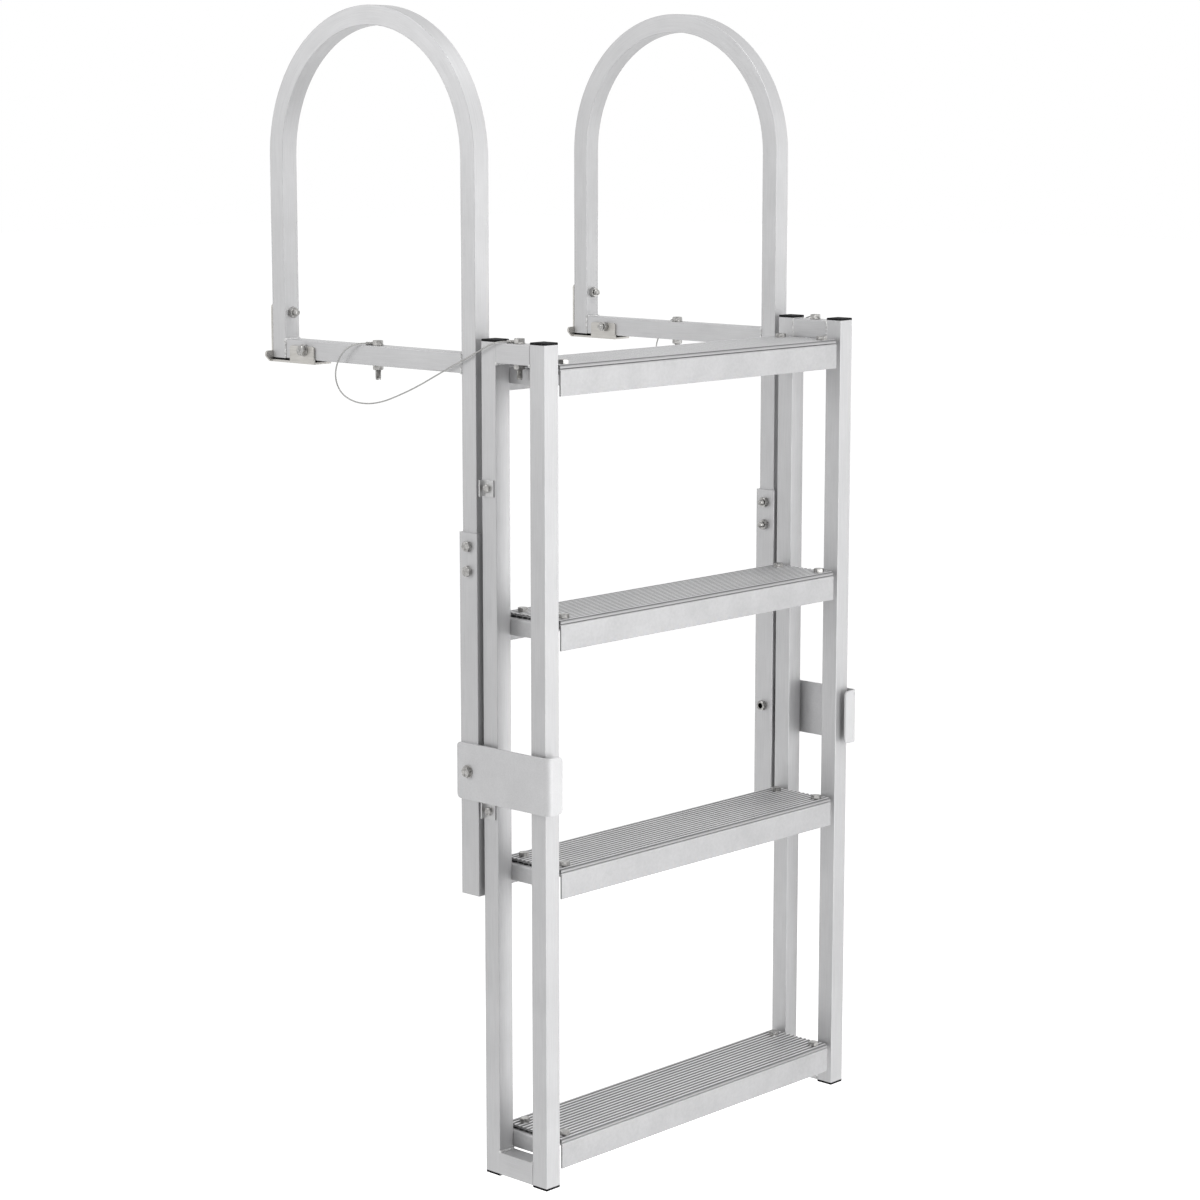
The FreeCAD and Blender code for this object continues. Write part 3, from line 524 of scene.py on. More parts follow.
        rings = [ring(low, -1, True), ring(low, -1, False)] if both else [ring(low, 0, False)]
        self.skin(rings + [ring(high, 1, False), ring(high, 1, True)])

    def absorb(self, mesh: bpy.types.Mesh) -> None:
        """Takes a baked mesh in and drops its datablock."""
        self.mesh.from_mesh(mesh)
        bpy.data.meshes.remove(mesh)

    def holder(self, name: str) -> bpy.types.Object:
        """Makes a scratch object of the form, still in millimetres.

        Args:
            name: Name of the object.

        Returns:
            The object, linked to the scene.
        """
        data = bpy.data.meshes.new(name)
        self.mesh.to_mesh(data)
        self.mesh.free()
        return linked(name, data)

    def piece(self, name: str, side: Side = Side.LEFT, crease: float = CREASE,
              weighted: bool = True) -> bpy.types.Object:
        """Turns the form into a piece in metres, mirrored for the right side.

        Args:
            name: Name of the piece.
            side: Which side it belongs to.
            crease: Edges sharper than this many degrees stay sharp.
            weighted: Whether large faces pull the shading flat.

        Returns:
            The finished object at the origin.
        """
        if side is Side.RIGHT:
            for vert in self.mesh.verts:
                vert.co.x = 2 * MIDDLE - vert.co.x
        for vert in self.mesh.verts:
            vert.co *= MM
        bmesh.ops.remove_doubles(self.mesh, verts=self.mesh.verts, dist=self.MERGE)
        bmesh.ops.recalc_face_normals(self.mesh, faces=self.mesh.faces)
        made = self.holder(name)
        shade(made, crease, weighted)
        return made


def shade(thing: bpy.types.Object, crease: float, weighted: bool) -> None:
    """Shades a mesh smooth between its sharp edges.

    Args:
        thing: The object.
        crease: Angle of a sharp edge in degrees.
        weighted: Whether large faces pull the shading flat.
    """
    thing.data.polygons.foreach_set("use_smooth", [True] * len(thing.data.polygons))
    thing.data.set_sharp_from_angle(angle=math.radians(crease))
    if weighted:
        flat = thing.modifiers.new("flat_faces", "WEIGHTED_NORMAL")
        flat.keep_sharp = True


def dressed(thing: bpy.types.Object, finish: Finish, slot: Slot, body: Body | None,
            *nodes: str) -> bpy.types.Object:
    """Gives a piece its finish and its body.

    Args:
        thing: The piece.
        finish: What it is made of.
        slot: Not used.
        body: The body that it rides on, or None for a piece on neither body.
        *nodes: CAD nodes that it stands for.

    Returns:
        The same piece.
    """
    thing.data.materials.clear()
    thing.data.materials.append(finish.material())
    if body:
        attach(thing, body.value)
    if nodes:
        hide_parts(*nodes)
    LOG.info("%s: %d faces, %s", thing.name, len(thing.data.polygons), finish.name)
    return thing


def softened(node: str, name: str, width: float) -> bpy.types.Object:
    """Copy of a CAD node with its edges broken as a plate's are.

    Args:
        node: The CAD node.
        name: Name of the new piece.
        width: Width of the broken edge in millimetres.

    Returns:
        The new object.
    """
    merge, flat, sharp = 2e-6, math.radians(1.0), math.radians(40)
    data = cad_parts[node].data.copy()
    data.name = name
    work = bmesh.new()
    work.from_mesh(data)
    bmesh.ops.remove_doubles(work, verts=work.verts, dist=merge)
    bmesh.ops.dissolve_limit(work, angle_limit=flat, verts=work.verts, edges=work.edges)
    work.to_mesh(data)
    work.free()
    made = linked(name, data)
    shade(made, CREASE, False)
    bevel = made.modifiers.new("broken_edges", "BEVEL")
    bevel.width = width * MM
    bevel.segments = 2
    bevel.limit_method = "ANGLE"
    bevel.angle_limit = sharp
    bevel.harden_normals = True
    return made


def geometry_tree(name: str, inputs: Sequence[tuple[str, str, object]]) -> bpy.types.NodeTree:
    """Starts a Geometry Nodes tree with named inputs.

    Args:
        name: Name of the tree.
        inputs: Label, socket type and default of each input after the geometry.

    Returns:
        The tree, with no nodes yet.
    """
    tree = bpy.data.node_groups.new(name, "GeometryNodeTree")
    tree.interface.new_socket("Geometry", in_out="INPUT", socket_type="NodeSocketGeometry")
    for label, kind, value in inputs:
        socket = tree.interface.new_socket(label, in_out="INPUT", socket_type=kind)
        if value is not None:
            socket.default_value = value
    tree.interface.new_socket("Geometry", in_out="OUTPUT", socket_type="NodeSocketGeometry")
    return tree


def close_tree(tree: bpy.types.NodeTree, geometry: bpy.types.NodeSocket,
               material: bpy.types.NodeSocket) -> None:
    """Ends a tree in Realize Instances and Set Material.

    Args:
        tree: The tree.
        geometry: What it has made so far.
        material: The socket that brings its material.
    """
    real = add_node(tree, "GeometryNodeRealizeInstances", {"Geometry": geometry})
    done = add_node(tree, "GeometryNodeSetMaterial", {"Geometry": real.outputs["Geometry"],
                                                      "Material": material})
    add_node(tree, "NodeGroupOutput", {"Geometry": done.outputs["Geometry"]})


def baked(holder: bpy.types.Object, tree: bpy.types.NodeTree, values: dict[str, object]) -> bpy.types.Mesh:
    """Runs a tree on a scratch object and returns the plain mesh.

    Args:
        holder: The scratch object, which is removed.
        tree: The tree.
        values: Input values by label.

    Returns:
        The resulting mesh, in the tree's own units.
    """
    modifier = holder.modifiers.new(tree.name, "NODES")
    modifier.node_group = tree
    sockets = {item.name: item.identifier for item in tree.interface.items_tree
               if item.item_type == "SOCKET" and item.in_out == "INPUT"}
    for label, value in values.items():
        modifier[sockets[label]] = value
    depsgraph = bpy.context.evaluated_depsgraph_get()
    result = holder.evaluated_get(depsgraph)
    mesh = bpy.data.meshes.new_from_object(result, preserve_all_data_layers=True, depsgraph=depsgraph)
    holder.modifiers.remove(modifier)
    drop(holder)
    return mesh


class Trees:
    """The Geometry Nodes trees of what repeats on the ladder."""

    @staticmethod
    def row() -> bpy.types.NodeTree:
        """Repeats one extruded rib across the tread."""
        found = bpy.data.node_groups.get("rib_row")
        if found:
            return found
        tree = geometry_tree("rib_row", [("Count", "NodeSocketInt", 14), ("Pitch", "NodeSocketFloat", 7.5),
                                         ("Material", "NodeSocketMaterial", None)])
        start = add_node(tree, "NodeGroupInput")
        step = add_node(tree, "ShaderNodeCombineXYZ", {"Y": start.outputs["Pitch"]})
        line = add_node(tree, "GeometryNodeMeshLine", {"Count": start.outputs["Count"],
                                                       "Offset": step.outputs[0]})
        row = add_node(tree, "GeometryNodeInstanceOnPoints", {"Points": line.outputs["Mesh"],
                                                              "Instance": start.outputs["Geometry"]})
        close_tree(tree, row.outputs["Instances"], start.outputs["Material"])
        return tree

    @staticmethod
    def fasteners() -> bpy.types.NodeTree:
        """Sets one fastener on each point, along the point's own way, each turned a little differently."""
        found = bpy.data.node_groups.get("set_fasteners")
        if found:
            return found
        tree = geometry_tree("set_fasteners", [("Fastener", "NodeSocketObject", None),
                                               ("Seed", "NodeSocketInt", 7),
                                               ("Turn", "NodeSocketFloat", 1.0),
                                               ("Material", "NodeSocketMaterial", None)])
        start = add_node(tree, "NodeGroupInput")
        part = add_node(tree, "GeometryNodeObjectInfo", {"Object": start.outputs["Fastener"]},
                        transform_space="ORIGINAL")
        way = add_node(tree, "GeometryNodeInputNamedAttribute", {"Name": "way"}, data_type="FLOAT_VECTOR")
        lined = add_node(tree, "FunctionNodeAlignRotationToVector", {"Vector": way.outputs["Attribute"]},
                         axis="Z")
        chance = add_node(tree, "FunctionNodeRandomValue", {"Seed": start.outputs["Seed"]},
                          data_type="FLOAT")
        share = [s for s in chance.outputs if s.type == "VALUE" and s.enabled][0]
        turn = add_node(tree, "ShaderNodeMath", {0: share, 1: start.outputs["Turn"]}, operation="MULTIPLY")
        spin = add_node(tree, "FunctionNodeAxisAngleToRotation", {"Angle": turn.outputs[0]})
        both = add_node(tree, "FunctionNodeRotateRotation", {"Rotation": lined.outputs["Rotation"],
                                                             "Rotate By": spin.outputs["Rotation"]},
                        rotation_space="LOCAL")
        many = add_node(tree, "GeometryNodeInstanceOnPoints", {"Points": start.outputs["Geometry"],
                                                               "Instance": part.outputs["Geometry"],
                                                               "Rotation": both.outputs["Rotation"]})
        close_tree(tree, many.outputs["Instances"], start.outputs["Material"])
        return tree

    @staticmethod
    def bead() -> bpy.types.NodeTree:
        """Lays a weld's overlapping ripples along the input's edges."""
        found = bpy.data.node_groups.get("weld_ripples")
        if found:
            return found
        tree = geometry_tree("weld_ripples", [("Spacing", "NodeSocketFloat", 1.2),
                                              ("Radius", "NodeSocketFloat", 1.7),
                                              ("Seed", "NodeSocketInt", 3),
                                              ("Material", "NodeSocketMaterial", None)])
        start = add_node(tree, "NodeGroupInput")
        line = add_node(tree, "GeometryNodeMeshToCurve", {"Mesh": start.outputs["Geometry"]})
        even = add_node(tree, "GeometryNodeResampleCurve", {"Curve": line.outputs["Curve"],
                                                            "Length": start.outputs["Spacing"]},
                        mode="LENGTH")
        ripple = add_node(tree, "GeometryNodeMeshIcoSphere", {"Radius": start.outputs["Radius"],
                                                              "Subdivisions": 2})
        soft = add_node(tree, "GeometryNodeSetShadeSmooth", {"Geometry": ripple.outputs["Mesh"]})
        tangent = add_node(tree, "GeometryNodeInputTangent")
        lined = add_node(tree, "FunctionNodeAlignRotationToVector", {"Vector": tangent.outputs["Tangent"]},
                         axis="Z")
        uneven = add_node(tree, "FunctionNodeRandomValue", {"Seed": start.outputs["Seed"],
                                                            0: (0.82, 0.82, 0.6), 1: (1.1, 1.1, 0.75)},
                          data_type="FLOAT_VECTOR")
        many = add_node(tree, "GeometryNodeInstanceOnPoints", {"Points": even.outputs["Curve"],
                                                               "Instance": soft.outputs["Geometry"],
                                                               "Rotation": lined.outputs["Rotation"],
                                                               "Scale": uneven.outputs["Value"]})
        close_tree(tree, many.outputs["Instances"], start.outputs["Material"])
        return tree


@dataclass
class Fastener:
    """A hex bolt with its nut, seated at its own origin with its head up."""

    grip: float
    out: float
    washer: bool = False
    thread: float = 8.0
    head_wide: float = 14.6
    head_high: float = 5.3
    nut_high: float = 6.5
    nut: bool = True
    washer_wide: float = 16.0
    washer_thick: float = 1.6
    washer_edge: float = 0.2
    lift: float = 0.0
    pitch: float = 1.25
    groove: float = 0.62
    tip: float = 1.3

    def ridges(self, low: float) -> Outline:
        """Profile of the thread that stands out of the nut.

        Args:
            low: Height of the nut's outer face.

        Returns:
            Radius and height of each ring.
        """
        r, root = self.thread / 2, self.thread / 2 - self.groove
        turns = int((self.out - 0.6) / self.pitch)
        rows = [(r - 0.3, low + 0.2)]
        for k in range(turns):
            rows += [(root, low - self.pitch * k - 0.15), (r, low - self.pitch * (k + 0.5))]
        rows.append((root, low - self.pitch * turns - 0.1))
        return rows + [(r - 0.7, low - self.out + 0.2), (r - self.tip, low - self.out)]

    def form(self) -> Form:
        """Builds the fastener's mesh in millimetres."""
        made = Form()
        here = Matrix.Identity(4)
        seat, r = self.lift, self.thread / 2
        if self.washer:
            made.lathe(disc(self.washer_wide, self.washer_thick, self.washer_edge), here, count=28)
            seat += self.washer_thick
        made.hexagon(self.head_wide, seat, seat + self.head_high, here)
        if not self.nut:
            made.lathe([(r, seat), (r, -self.grip + 0.5), (r - 0.5, -self.grip)], here)
            return made
        low = -self.grip - self.nut_high
        made.hexagon(self.head_wide, low, -self.grip, here, both=True)
        made.lathe([(r, seat), (r, low)], here, count=16)
        if self.out > 1:
            made.lathe(self.ridges(low), here)
        return made


class Hardware:
    """A batch of fasteners for one piece, each turned by up to TURN radians about its axis."""

    TURN: ClassVar[float] = 1.0

    def __init__(self, seed: int) -> None:
        """Starts an empty batch with a fixed seed."""
        self.seed = seed
        self.whole = Form()

    def set(self, fastener: Fastener, places: Sequence[tuple[Point, Point]]) -> None:
        """Sets one kind of fastener on several places.

        Args:
            fastener: The kind.
            places: Seat and direction towards the head, in millimetres.
        """
        kind = fastener.form().holder("fastener_kind")
        points = bpy.data.meshes.new("fastener_places")
        points.from_pydata([at for at, _ in places], [], [])
        way = points.attributes.new("way", "FLOAT_VECTOR", "POINT")
        way.data.foreach_set("vector", [c for _, along in places for c in along])
        mesh = baked(linked("fastener_places", points), Trees.fasteners(),
                     {"Fastener": kind, "Seed": self.seed, "Turn": self.TURN,
                      "Material": HARDWARE.material()})
        self.whole.absorb(mesh)
        drop(kind)

    def piece(self, name: str, side: Side, body: Body, slot: Slot, *nodes: str) -> bpy.types.Object:
        """Finishes the batch as one piece.

        Args:
            name: Name of the piece.
            side: Which side it belongs to.
            body: The body that it rides on.
            slot: The record's slot for it.
            *nodes: CAD nodes that it stands for.

        Returns:
            The piece.
        """
        return dressed(self.whole.piece(name, side), HARDWARE, slot, body, *nodes)


@dataclass
class Welds:
    """Weld beads that belong to one body."""

    radius: float = 2.0
    spacing: float = 1.5
    seed: int = 3
    crease: float = 60.0

    def lay(self, name: str, body: Body, runs: Sequence[Sequence[Point]]) -> None:
        """Lays beads along runs of points, and their mirrored twins on the right side.

        Args:
            name: Name of the piece.
            body: The body that it rides on.
            runs: Open rows of points in millimetres, on the left side.
        """
        points, edges = [], []
        for run in [*runs, *([(2 * MIDDLE - x, y, z) for x, y, z in run] for run in runs)]:
            edges += [(len(points) + k, len(points) + k + 1) for k in range(len(run) - 1)]
            points += run
        data = bpy.data.meshes.new(name)
        data.from_pydata(points, edges, [])
        mesh = baked(linked(name, data), Trees.bead(),
                     {"Spacing": self.spacing, "Radius": self.radius, "Seed": self.seed,
                      "Material": WELD.material()})
        whole = Form()
        whole.absorb(mesh)
        dressed(whole.piece(name, crease=self.crease, weighted=False), WELD, Slot.TUBE, body)


@dataclass
class Tube:
    """A square extruded tube."""

    side: float = 25.4
    wall: float = 2.5
    corner: float = 1.0
    inner_corner: float = 0.3

    def outlines(self) -> tuple[Outline, Outline]:
        """Its outer outline and the outline of its hollow."""
        half = self.side / 2
        return rounded_square(half, self.corner), rounded_square(half - self.wall, self.inner_corner)


@dataclass
class Cap:
    """A moulded plug in a tube's end."""

    side: float = 25.4
    thick: float = 2.5
    corner: float = 1.2
    plug: float = 9.0
    inset: float = 2.8
    edge: float = 0.3
    ease: float = 0.7

    def add(self, form: Form, at: Point, up: bool, crown: float = 0.4) -> None:
        """Adds one cap to a form.

        Args:
            form: The form that gets it.
            at: Middle of the tube's end.
            up: Whether it faces up.
            crown: How far its middle stands above its rim, in millimetres.
        """
        half = self.side / 2
        rim = self.thick - crown
        stem, eased = half - self.inset, half - self.edge
        rows = [(stem, -self.plug), (stem, 0.0), (eased, 0.0), (half, 0.25), (half, rim - self.ease),
                (eased, rim - 0.2), (half - 1.0, rim), (half - 3.0, rim + 0.45 * crown),
                (half - 6.0, rim + 0.85 * crown), (half - 9.5, rim + crown)]
        sign = 1 if up else -1
        rings = []
        for reach, height in rows:
            ring = rounded_square(reach, min(self.corner, reach * 0.4))
            rings.append([Vector((at[0] + x, at[1] + y, at[2] + sign * height)) for x, y in ring])
        form.skin(rings)


@dataclass
class Camera:
    """Where the photograph was taken from."""

    at: Point = (-2.67312, -3.04453, 0.34664)
    yaw: float = 46.967
    tilt: float = 9.431
    lens: float = 90.30
    sensor: float = 36.0
    near: float = 0.05
    far: float = 60.0

    def build(self) -> None:
        """Makes the camera the scene's own."""
        data = bpy.data.cameras.new("view_camera")
        data.lens = self.lens
        data.sensor_width = self.sensor
        data.clip_start = self.near
        data.clip_end = self.far
        made = linked("view_camera", data)
        made.location = self.at
        made.rotation_euler = (math.radians(90 - self.tilt), 0, math.radians(-self.yaw))
        bpy.context.scene.camera = made
        LOG.info("camera at %s", self.at)


@dataclass
class Tether:
    """Slack wire from the deck rail's bolt to the ladder's cross bolt, with its route in metres."""

    diameter: float = 2.0
    length: float = 417.0
    sides: int = 12
    crease: float = 50.0
    points: tuple[Point, ...] = (
        (-0.0096, -0.1399, 0.0334), (-0.0174, -0.1295, 0.0334), (-0.022, -0.113, 0.025),
        (-0.022, -0.098, 0.009), (-0.021, -0.091, -0.013), (-0.019, -0.099, -0.033),
        (-0.018, -0.121, -0.043), (-0.018, -0.149, -0.045), (-0.018, -0.180, -0.040),
        (-0.018, -0.212, -0.029), (-0.018, -0.245, -0.016), (-0.018, -0.277, -0.001),
        (-0.0175, -0.309, 0.014), (-0.017, -0.340, 0.028), (-0.0165, -0.367, 0.041),
        (-0.015575, -0.386575, 0.0495), (-0.007775, -0.396975, 0.0495),
    )

    def route(self, side: Side) -> list[Vector]:
        """Reads the smooth line of the route's spline, in metres.

        Args:
            side: Which side it belongs to.

        Returns:
            Points along the line.
        """
        curve = bpy.data.curves.new("tether_route", "CURVE")
        curve.dimensions = "3D"
        curve.resolution_u = 12
        spline = curve.splines.new("NURBS")
        spline.points.add(len(self.points) - 1)
        for point, (x, y, z) in zip(spline.points, self.points):
            point.co = (x if side is Side.LEFT else 2 * MIDDLE * MM - x, y, z, 1)
        spline.order_u = 3
        spline.use_endpoint_u = True
        holder = linked("tether_route", curve)
        depsgraph = bpy.context.evaluated_depsgraph_get()
        line = bpy.data.meshes.new_from_object(holder.evaluated_get(depsgraph))
        found = [v.co.copy() for v in line.vertices]
        bpy.data.meshes.remove(line)
        bpy.data.objects.remove(holder)
        bpy.data.curves.remove(curve)
        return found

    def build(self, side: Side) -> None:
        """Builds one wire, which rides on neither the dock nor the ladder.

        Args:
            side: Which side it belongs to.
        """
        line = self.route(side)
        form = Form()
        across = Vector((0, 0, 1))
        sections = []
        for k, at in enumerate(line):
            way = (line[min(k + 1, len(line) - 1)] - line[max(k - 1, 0)]).normalized()
            across = (across - way * across.dot(way)).normalized()
            sections.append((at / MM, across.copy(), way.cross(across)))
        turns = [2 * math.pi * k / self.sides for k in range(self.sides)]
        circle = [(self.diameter / 2 * math.cos(a), self.diameter / 2 * math.sin(a)) for a in turns]
        form.sweep(sections, circle)
        for face in form.mesh.faces:
            for loop in face.loops:
                u, v = loop[form.grain].uv
                loop[form.grain].uv = (u / (math.pi * self.diameter * MM), v)
        for vert in form.mesh.verts:
            vert.co *= MM
        bmesh.ops.recalc_face_normals(form.mesh, faces=form.mesh.faces)
        made = form.holder("tether_line_" + side.value)
        shade(made, self.crease, False)
        dressed(made, ROPE, Slot.WIRE, None, "tether_wire_" + side.value)
        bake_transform(made)


@dataclass
class EyeBolt:
    """Upright bolt that holds the eye of a tether under its head."""

    at: Point
    tube: float = 25.4
    out: float = 13.0
    eye_wide: float = 15.0
    eye_thick: float = 1.6
    eye_edge: float = 0.4
    ferrule_wide: float = 4.4
    ferrule_from: float = 4.0
    ferrule_to: float = 16.0
    ferrule_edge: float = 0.6
    ferrule_lift: float = 0.3
    crimps: tuple[float, ...] = (7.0, 9.6, 12.2)
    crimp_deep: float = 0.45
    way: Point = (-0.6, 0.8, 0.0)

    def ferrule(self) -> Outline:
        """Profile of the crimped ferrule, as radius and place along it."""
        r, root = self.ferrule_wide / 2, self.ferrule_wide / 2 - self.crimp_deep
        rows = [(r - 0.5, self.ferrule_from), (r, self.ferrule_from + self.ferrule_edge)]
        for at in self.crimps:
            rows += [(r, at - 0.7), (root, at - 0.25), (root, at + 0.25), (r, at + 0.7)]
        return rows + [(r, self.ferrule_to - self.ferrule_edge), (r - self.ferrule_edge, self.ferrule_to)]

    def build(self, stem: str, side: Side, body: Body) -> None:
        """Builds the bolt, its eye and its crimped ferrule.

        Args:
            stem: Name of the CAD node without its side.
            side: Which side it belongs to.
            body: The body that it rides on.
        """
        batch = Hardware(seed=11)
        batch.set(Fastener(grip=self.tube, out=self.out, lift=self.eye_thick), [(self.at, (0, 0, 1))])
        batch.whole.lathe(disc(self.eye_wide, self.eye_thick, self.eye_edge),
                          Matrix.Translation(Vector(self.at)), count=32)
        raised = Vector(self.at) + Vector((0, 0, self.ferrule_wide / 2 + self.ferrule_lift))
        batch.whole.lathe(self.ferrule(), toward(raised, self.way))
        batch.piece("%s_set_%s" % (stem, side.value), side, body, Slot.STAINLESS,
                    "%s_%s" % (stem, side.value))


@dataclass
class Half:
    """A sub-assembly of one side that rides on one body."""

    BODY: ClassVar[Body]

    side: Side
    tube: Tube

    def name(self, stem: str) -> str:
        """A name with this side's ending."""
        return "%s_%s" % (stem, self.side.value)

    def finished(self, form: Form, name: str, node: str, finish: Finish = TUBE,
                 slot: Slot = Slot.TUBE) -> None:
        """Finishes a form as one piece that stands for one CAD node."""
        dressed(form.piece(self.name(name), self.side), finish, slot, self.BODY, self.name(node))

    def straight(self, name: str, node: str, axis: str, middle: tuple[float, float],
                 ends: tuple[float, float], outlines: tuple[Outline, Outline]) -> None:
        """Builds one straight tube.

        Args:
            name: Name of the piece without its side.
            node: Name of the CAD node without its side.
            axis: "x", "y" or "z".
            middle: The two other coordinates of its middle line.
            ends: Where it starts and ends on its axis.
            outlines: Its outer outline and that of its hollow.
        """
        form = Form()
        form.bar(axis, middle, *ends, *outlines)
        self.finished(form, name, node)

    def plate(self, name: str, node: str, width: float, finish: Finish, slot: Slot) -> None:
        """Breaks the edges of a CAD node's plate."""
        dressed(softened(self.name(node), self.name(name), width), finish, slot, self.BODY, self.name(node))


@dataclass
class DockFrame(Half):
    """One hoop with all that is fixed to the dock on its side."""

    BODY: ClassVar[Body] = Body.DOCK

    sleeve: Tube
    rear_y: float = 28.3
    front_y: float = -333.7
    rail_z: float = 18.2
    spring_z: float = 273.3
    leg_end: float = -262.5
    sleeve_top: float = -196.5
    sleeve_low: float = -671.0
    arch_steps: int = 56
    plate_thick: float = 3.0
    broken_edge: float = 0.5
    leg_bolts_z: tuple[float, float] = (-214.0, -246.0)
    strap_bolt_z: float = -507.0
    ear_bolt_y: float = -24.0
    back_bolt_z: float = 66.0
    eye_y: float = -152.7
    rail_top: float = 30.9
    bolt_out: float = 6.0

    def hoop(self) -> None:
        """Bends the handrail tube over its arch and sets the plug in its open foot."""
        middle = (self.rear_y + self.front_y) / 2
        radius = (self.rear_y - self.front_y) / 2
        foot = self.rail_z - self.tube.side / 2
        across = Vector((1, 0, 0))
        rows = [(self.rear_y, foot, 0.0)]
        for k in range(self.arch_steps + 1):
            angle = math.pi * k / self.arch_steps
            y = middle + radius * math.cos(angle)
            rows.append((y, self.spring_z + radius * math.sin(angle), angle))
        rows.append((self.front_y, self.leg_end, math.pi))
        sections = [(Vector((0, y, z)), across, Vector((0, math.cos(a), math.sin(a)))) for y, z, a in rows]
        form = Form()
        form.sweep(sections, *self.tube.outlines())
        self.finished(form, "hoop_tube", "hoop")
        form = Form()
        Cap(plug=9.5).add(form, (0, self.rear_y, foot), up=False, crown=0.0)
        self.finished(form, "hoop_plug", "hoop_cap", PLUG, Slot.CAP)

    def rail(self) -> None:
        """Builds the level rail above the deck."""
        half = self.tube.side / 2
        self.straight("deck_rail_tube", "deck_rail", "y", (0, self.rail_z),
                      (self.front_y + half, self.rear_y - half), self.tube.outlines())

    def leg(self) -> None:
        """Builds the larger tube below the front leg."""
        self.straight("leg_sleeve", "leg_extension", "z", (0, self.front_y),
                      (self.sleeve_low, self.sleeve_top), self.sleeve.outlines())

    def plates(self) -> None:
        """Breaks the edges of the dock bracket and of the guide strap."""
        self.plate("bracket_plate", "dock_bracket", self.broken_edge, PLATE, Slot.STAINLESS)
        self.plate("strap_plate", "guide_strap", self.broken_edge, SHEET, Slot.SHEET)

    def bolts(self) -> None:
        """Sets the bolts of the leg, the strap and the bracket, and the tether's rail bolt."""
        wide, thick = self.sleeve.side, self.plate_thick
        slim = self.tube.side
        outward, back = (-1, 0, 0), (0, 1, 0)
        leg_bolt = Fastener(grip=wide, out=self.bolt_out)
        strap_bolt = Fastener(grip=wide + thick, out=0, washer=True, washer_wide=17.5, washer_thick=1.2,
                              head_high=4.6)
        ear_bolt = Fastener(grip=slim + 2 * thick, out=self.bolt_out, washer=True)
        back_bolt = Fastener(grip=slim + thick, out=self.bolt_out)
        batch = Hardware(seed=5)
        batch.set(leg_bolt, [((-wide / 2, self.front_y, z), outward) for z in self.leg_bolts_z])
        batch.set(strap_bolt, [((-wide / 2 - thick, self.front_y, self.strap_bolt_z), outward)])
        batch.set(ear_bolt, [((-slim / 2 - thick, self.ear_bolt_y, self.rail_z), outward)])
        batch.set(back_bolt, [((0, self.rear_y + slim / 2 + thick, self.back_bolt_z), back)])
        batch.piece(self.name("frame_fasteners"), self.side, self.BODY, Slot.STAINLESS,
                    self.name("frame_bolts"))
        EyeBolt((0, self.eye_y, self.rail_top)).build("rail_bolt", self.side, self.BODY)

    def build(self) -> None:
        """Builds every piece of this side."""
        self.hoop()
        self.rail()
        self.leg()
        self.plates()
        self.bolts()


@dataclass
class SideFrame(Half):
    """Two stiles with their cross-members, caps, stop clips and cross bolt."""

    BODY: ClassVar[Body] = Body.LADDER

    stile_x: float = 1.825
    front_y: float = -452.275
    rear_y: float = -367.275
    top: float = 48.0
    foot: float = -1041.0
    plug_thick: float = 3.4
    foot_trim: float = 0.9
    foot_crown: float = 0.1
    cross_z: float = 34.3
    foot_cross: tuple[float, float] = (-1041.0, -1011.0)
    broken_edge: float = 0.35
    clip_face: float = -12.875
    screw_y: float = -366.575
    screws_z: tuple[float, float] = (-555.15, -137.25)
    eye_y: float = -409.775
    cross_top: float = 47.0

    def stiles(self) -> None:
        """Builds the two long tubes."""
        for node, y in (("front_stile", self.front_y), ("rear_stile", self.rear_y)):
            self.straight(node + "_tube", node, "z", (self.stile_x, y),
                          (self.foot + self.foot_trim, self.top), self.tube.outlines())

    def crosses(self) -> None:
        """Builds the two short tubes between the stiles, the lower one taller."""
        half = self.tube.side / 2
        ends = (self.front_y + half, self.rear_y - half)
        self.straight("top_cross_tube", "top_cross", "y", (self.stile_x, self.cross_z), ends,
                      self.tube.outlines())
        low, high = self.foot_cross
        stretch = (high - low) / 2 - half
        taller = [[(x, z + math.copysign(stretch, z)) for x, z in line] for line in self.tube.outlines()]
        self.straight("foot_cross_tube", "bottom_cross", "y", (self.stile_x, (low + high) / 2), ends,
                      tuple(taller))

    def caps(self) -> None:
        """Sets the plugs in the stiles' four ends."""
        form = Form()
        plug = Cap(thick=self.plug_thick)
        for y in (self.front_y, self.rear_y):
            plug.add(form, (self.stile_x, y, self.top), up=True)
            plug.add(form, (self.stile_x, y, self.foot + self.foot_trim), up=False, crown=self.foot_crown)
        self.finished(form, "stile_plugs", "stile_caps", PLUG, Slot.CAP)

    def stops(self) -> None:
        """Builds the two stop clips with their screws, and the cross bolt."""
        self.plate("stop_clip_plates", "stop_clips", self.broken_edge, CLIP, Slot.STAINLESS)
        screw = Fastener(grip=11.0, out=0, thread=6.0, head_wide=11.0, head_high=4.0, nut=False)
        batch = Hardware(seed=9)
        batch.set(screw, [((self.clip_face, self.screw_y, z), (-1, 0, 0)) for z in self.screws_z])
        batch.piece(self.name("stop_screws"), self.side, self.BODY, Slot.STAINLESS,
                    self.name("clip_screws"))
        EyeBolt((self.stile_x, self.eye_y, self.cross_top)).build("cross_bolt", self.side, self.BODY)

    def build(self) -> None:
        """Builds every piece of this side."""
        self.stiles()
        self.crosses()
        self.caps()
        self.stops()


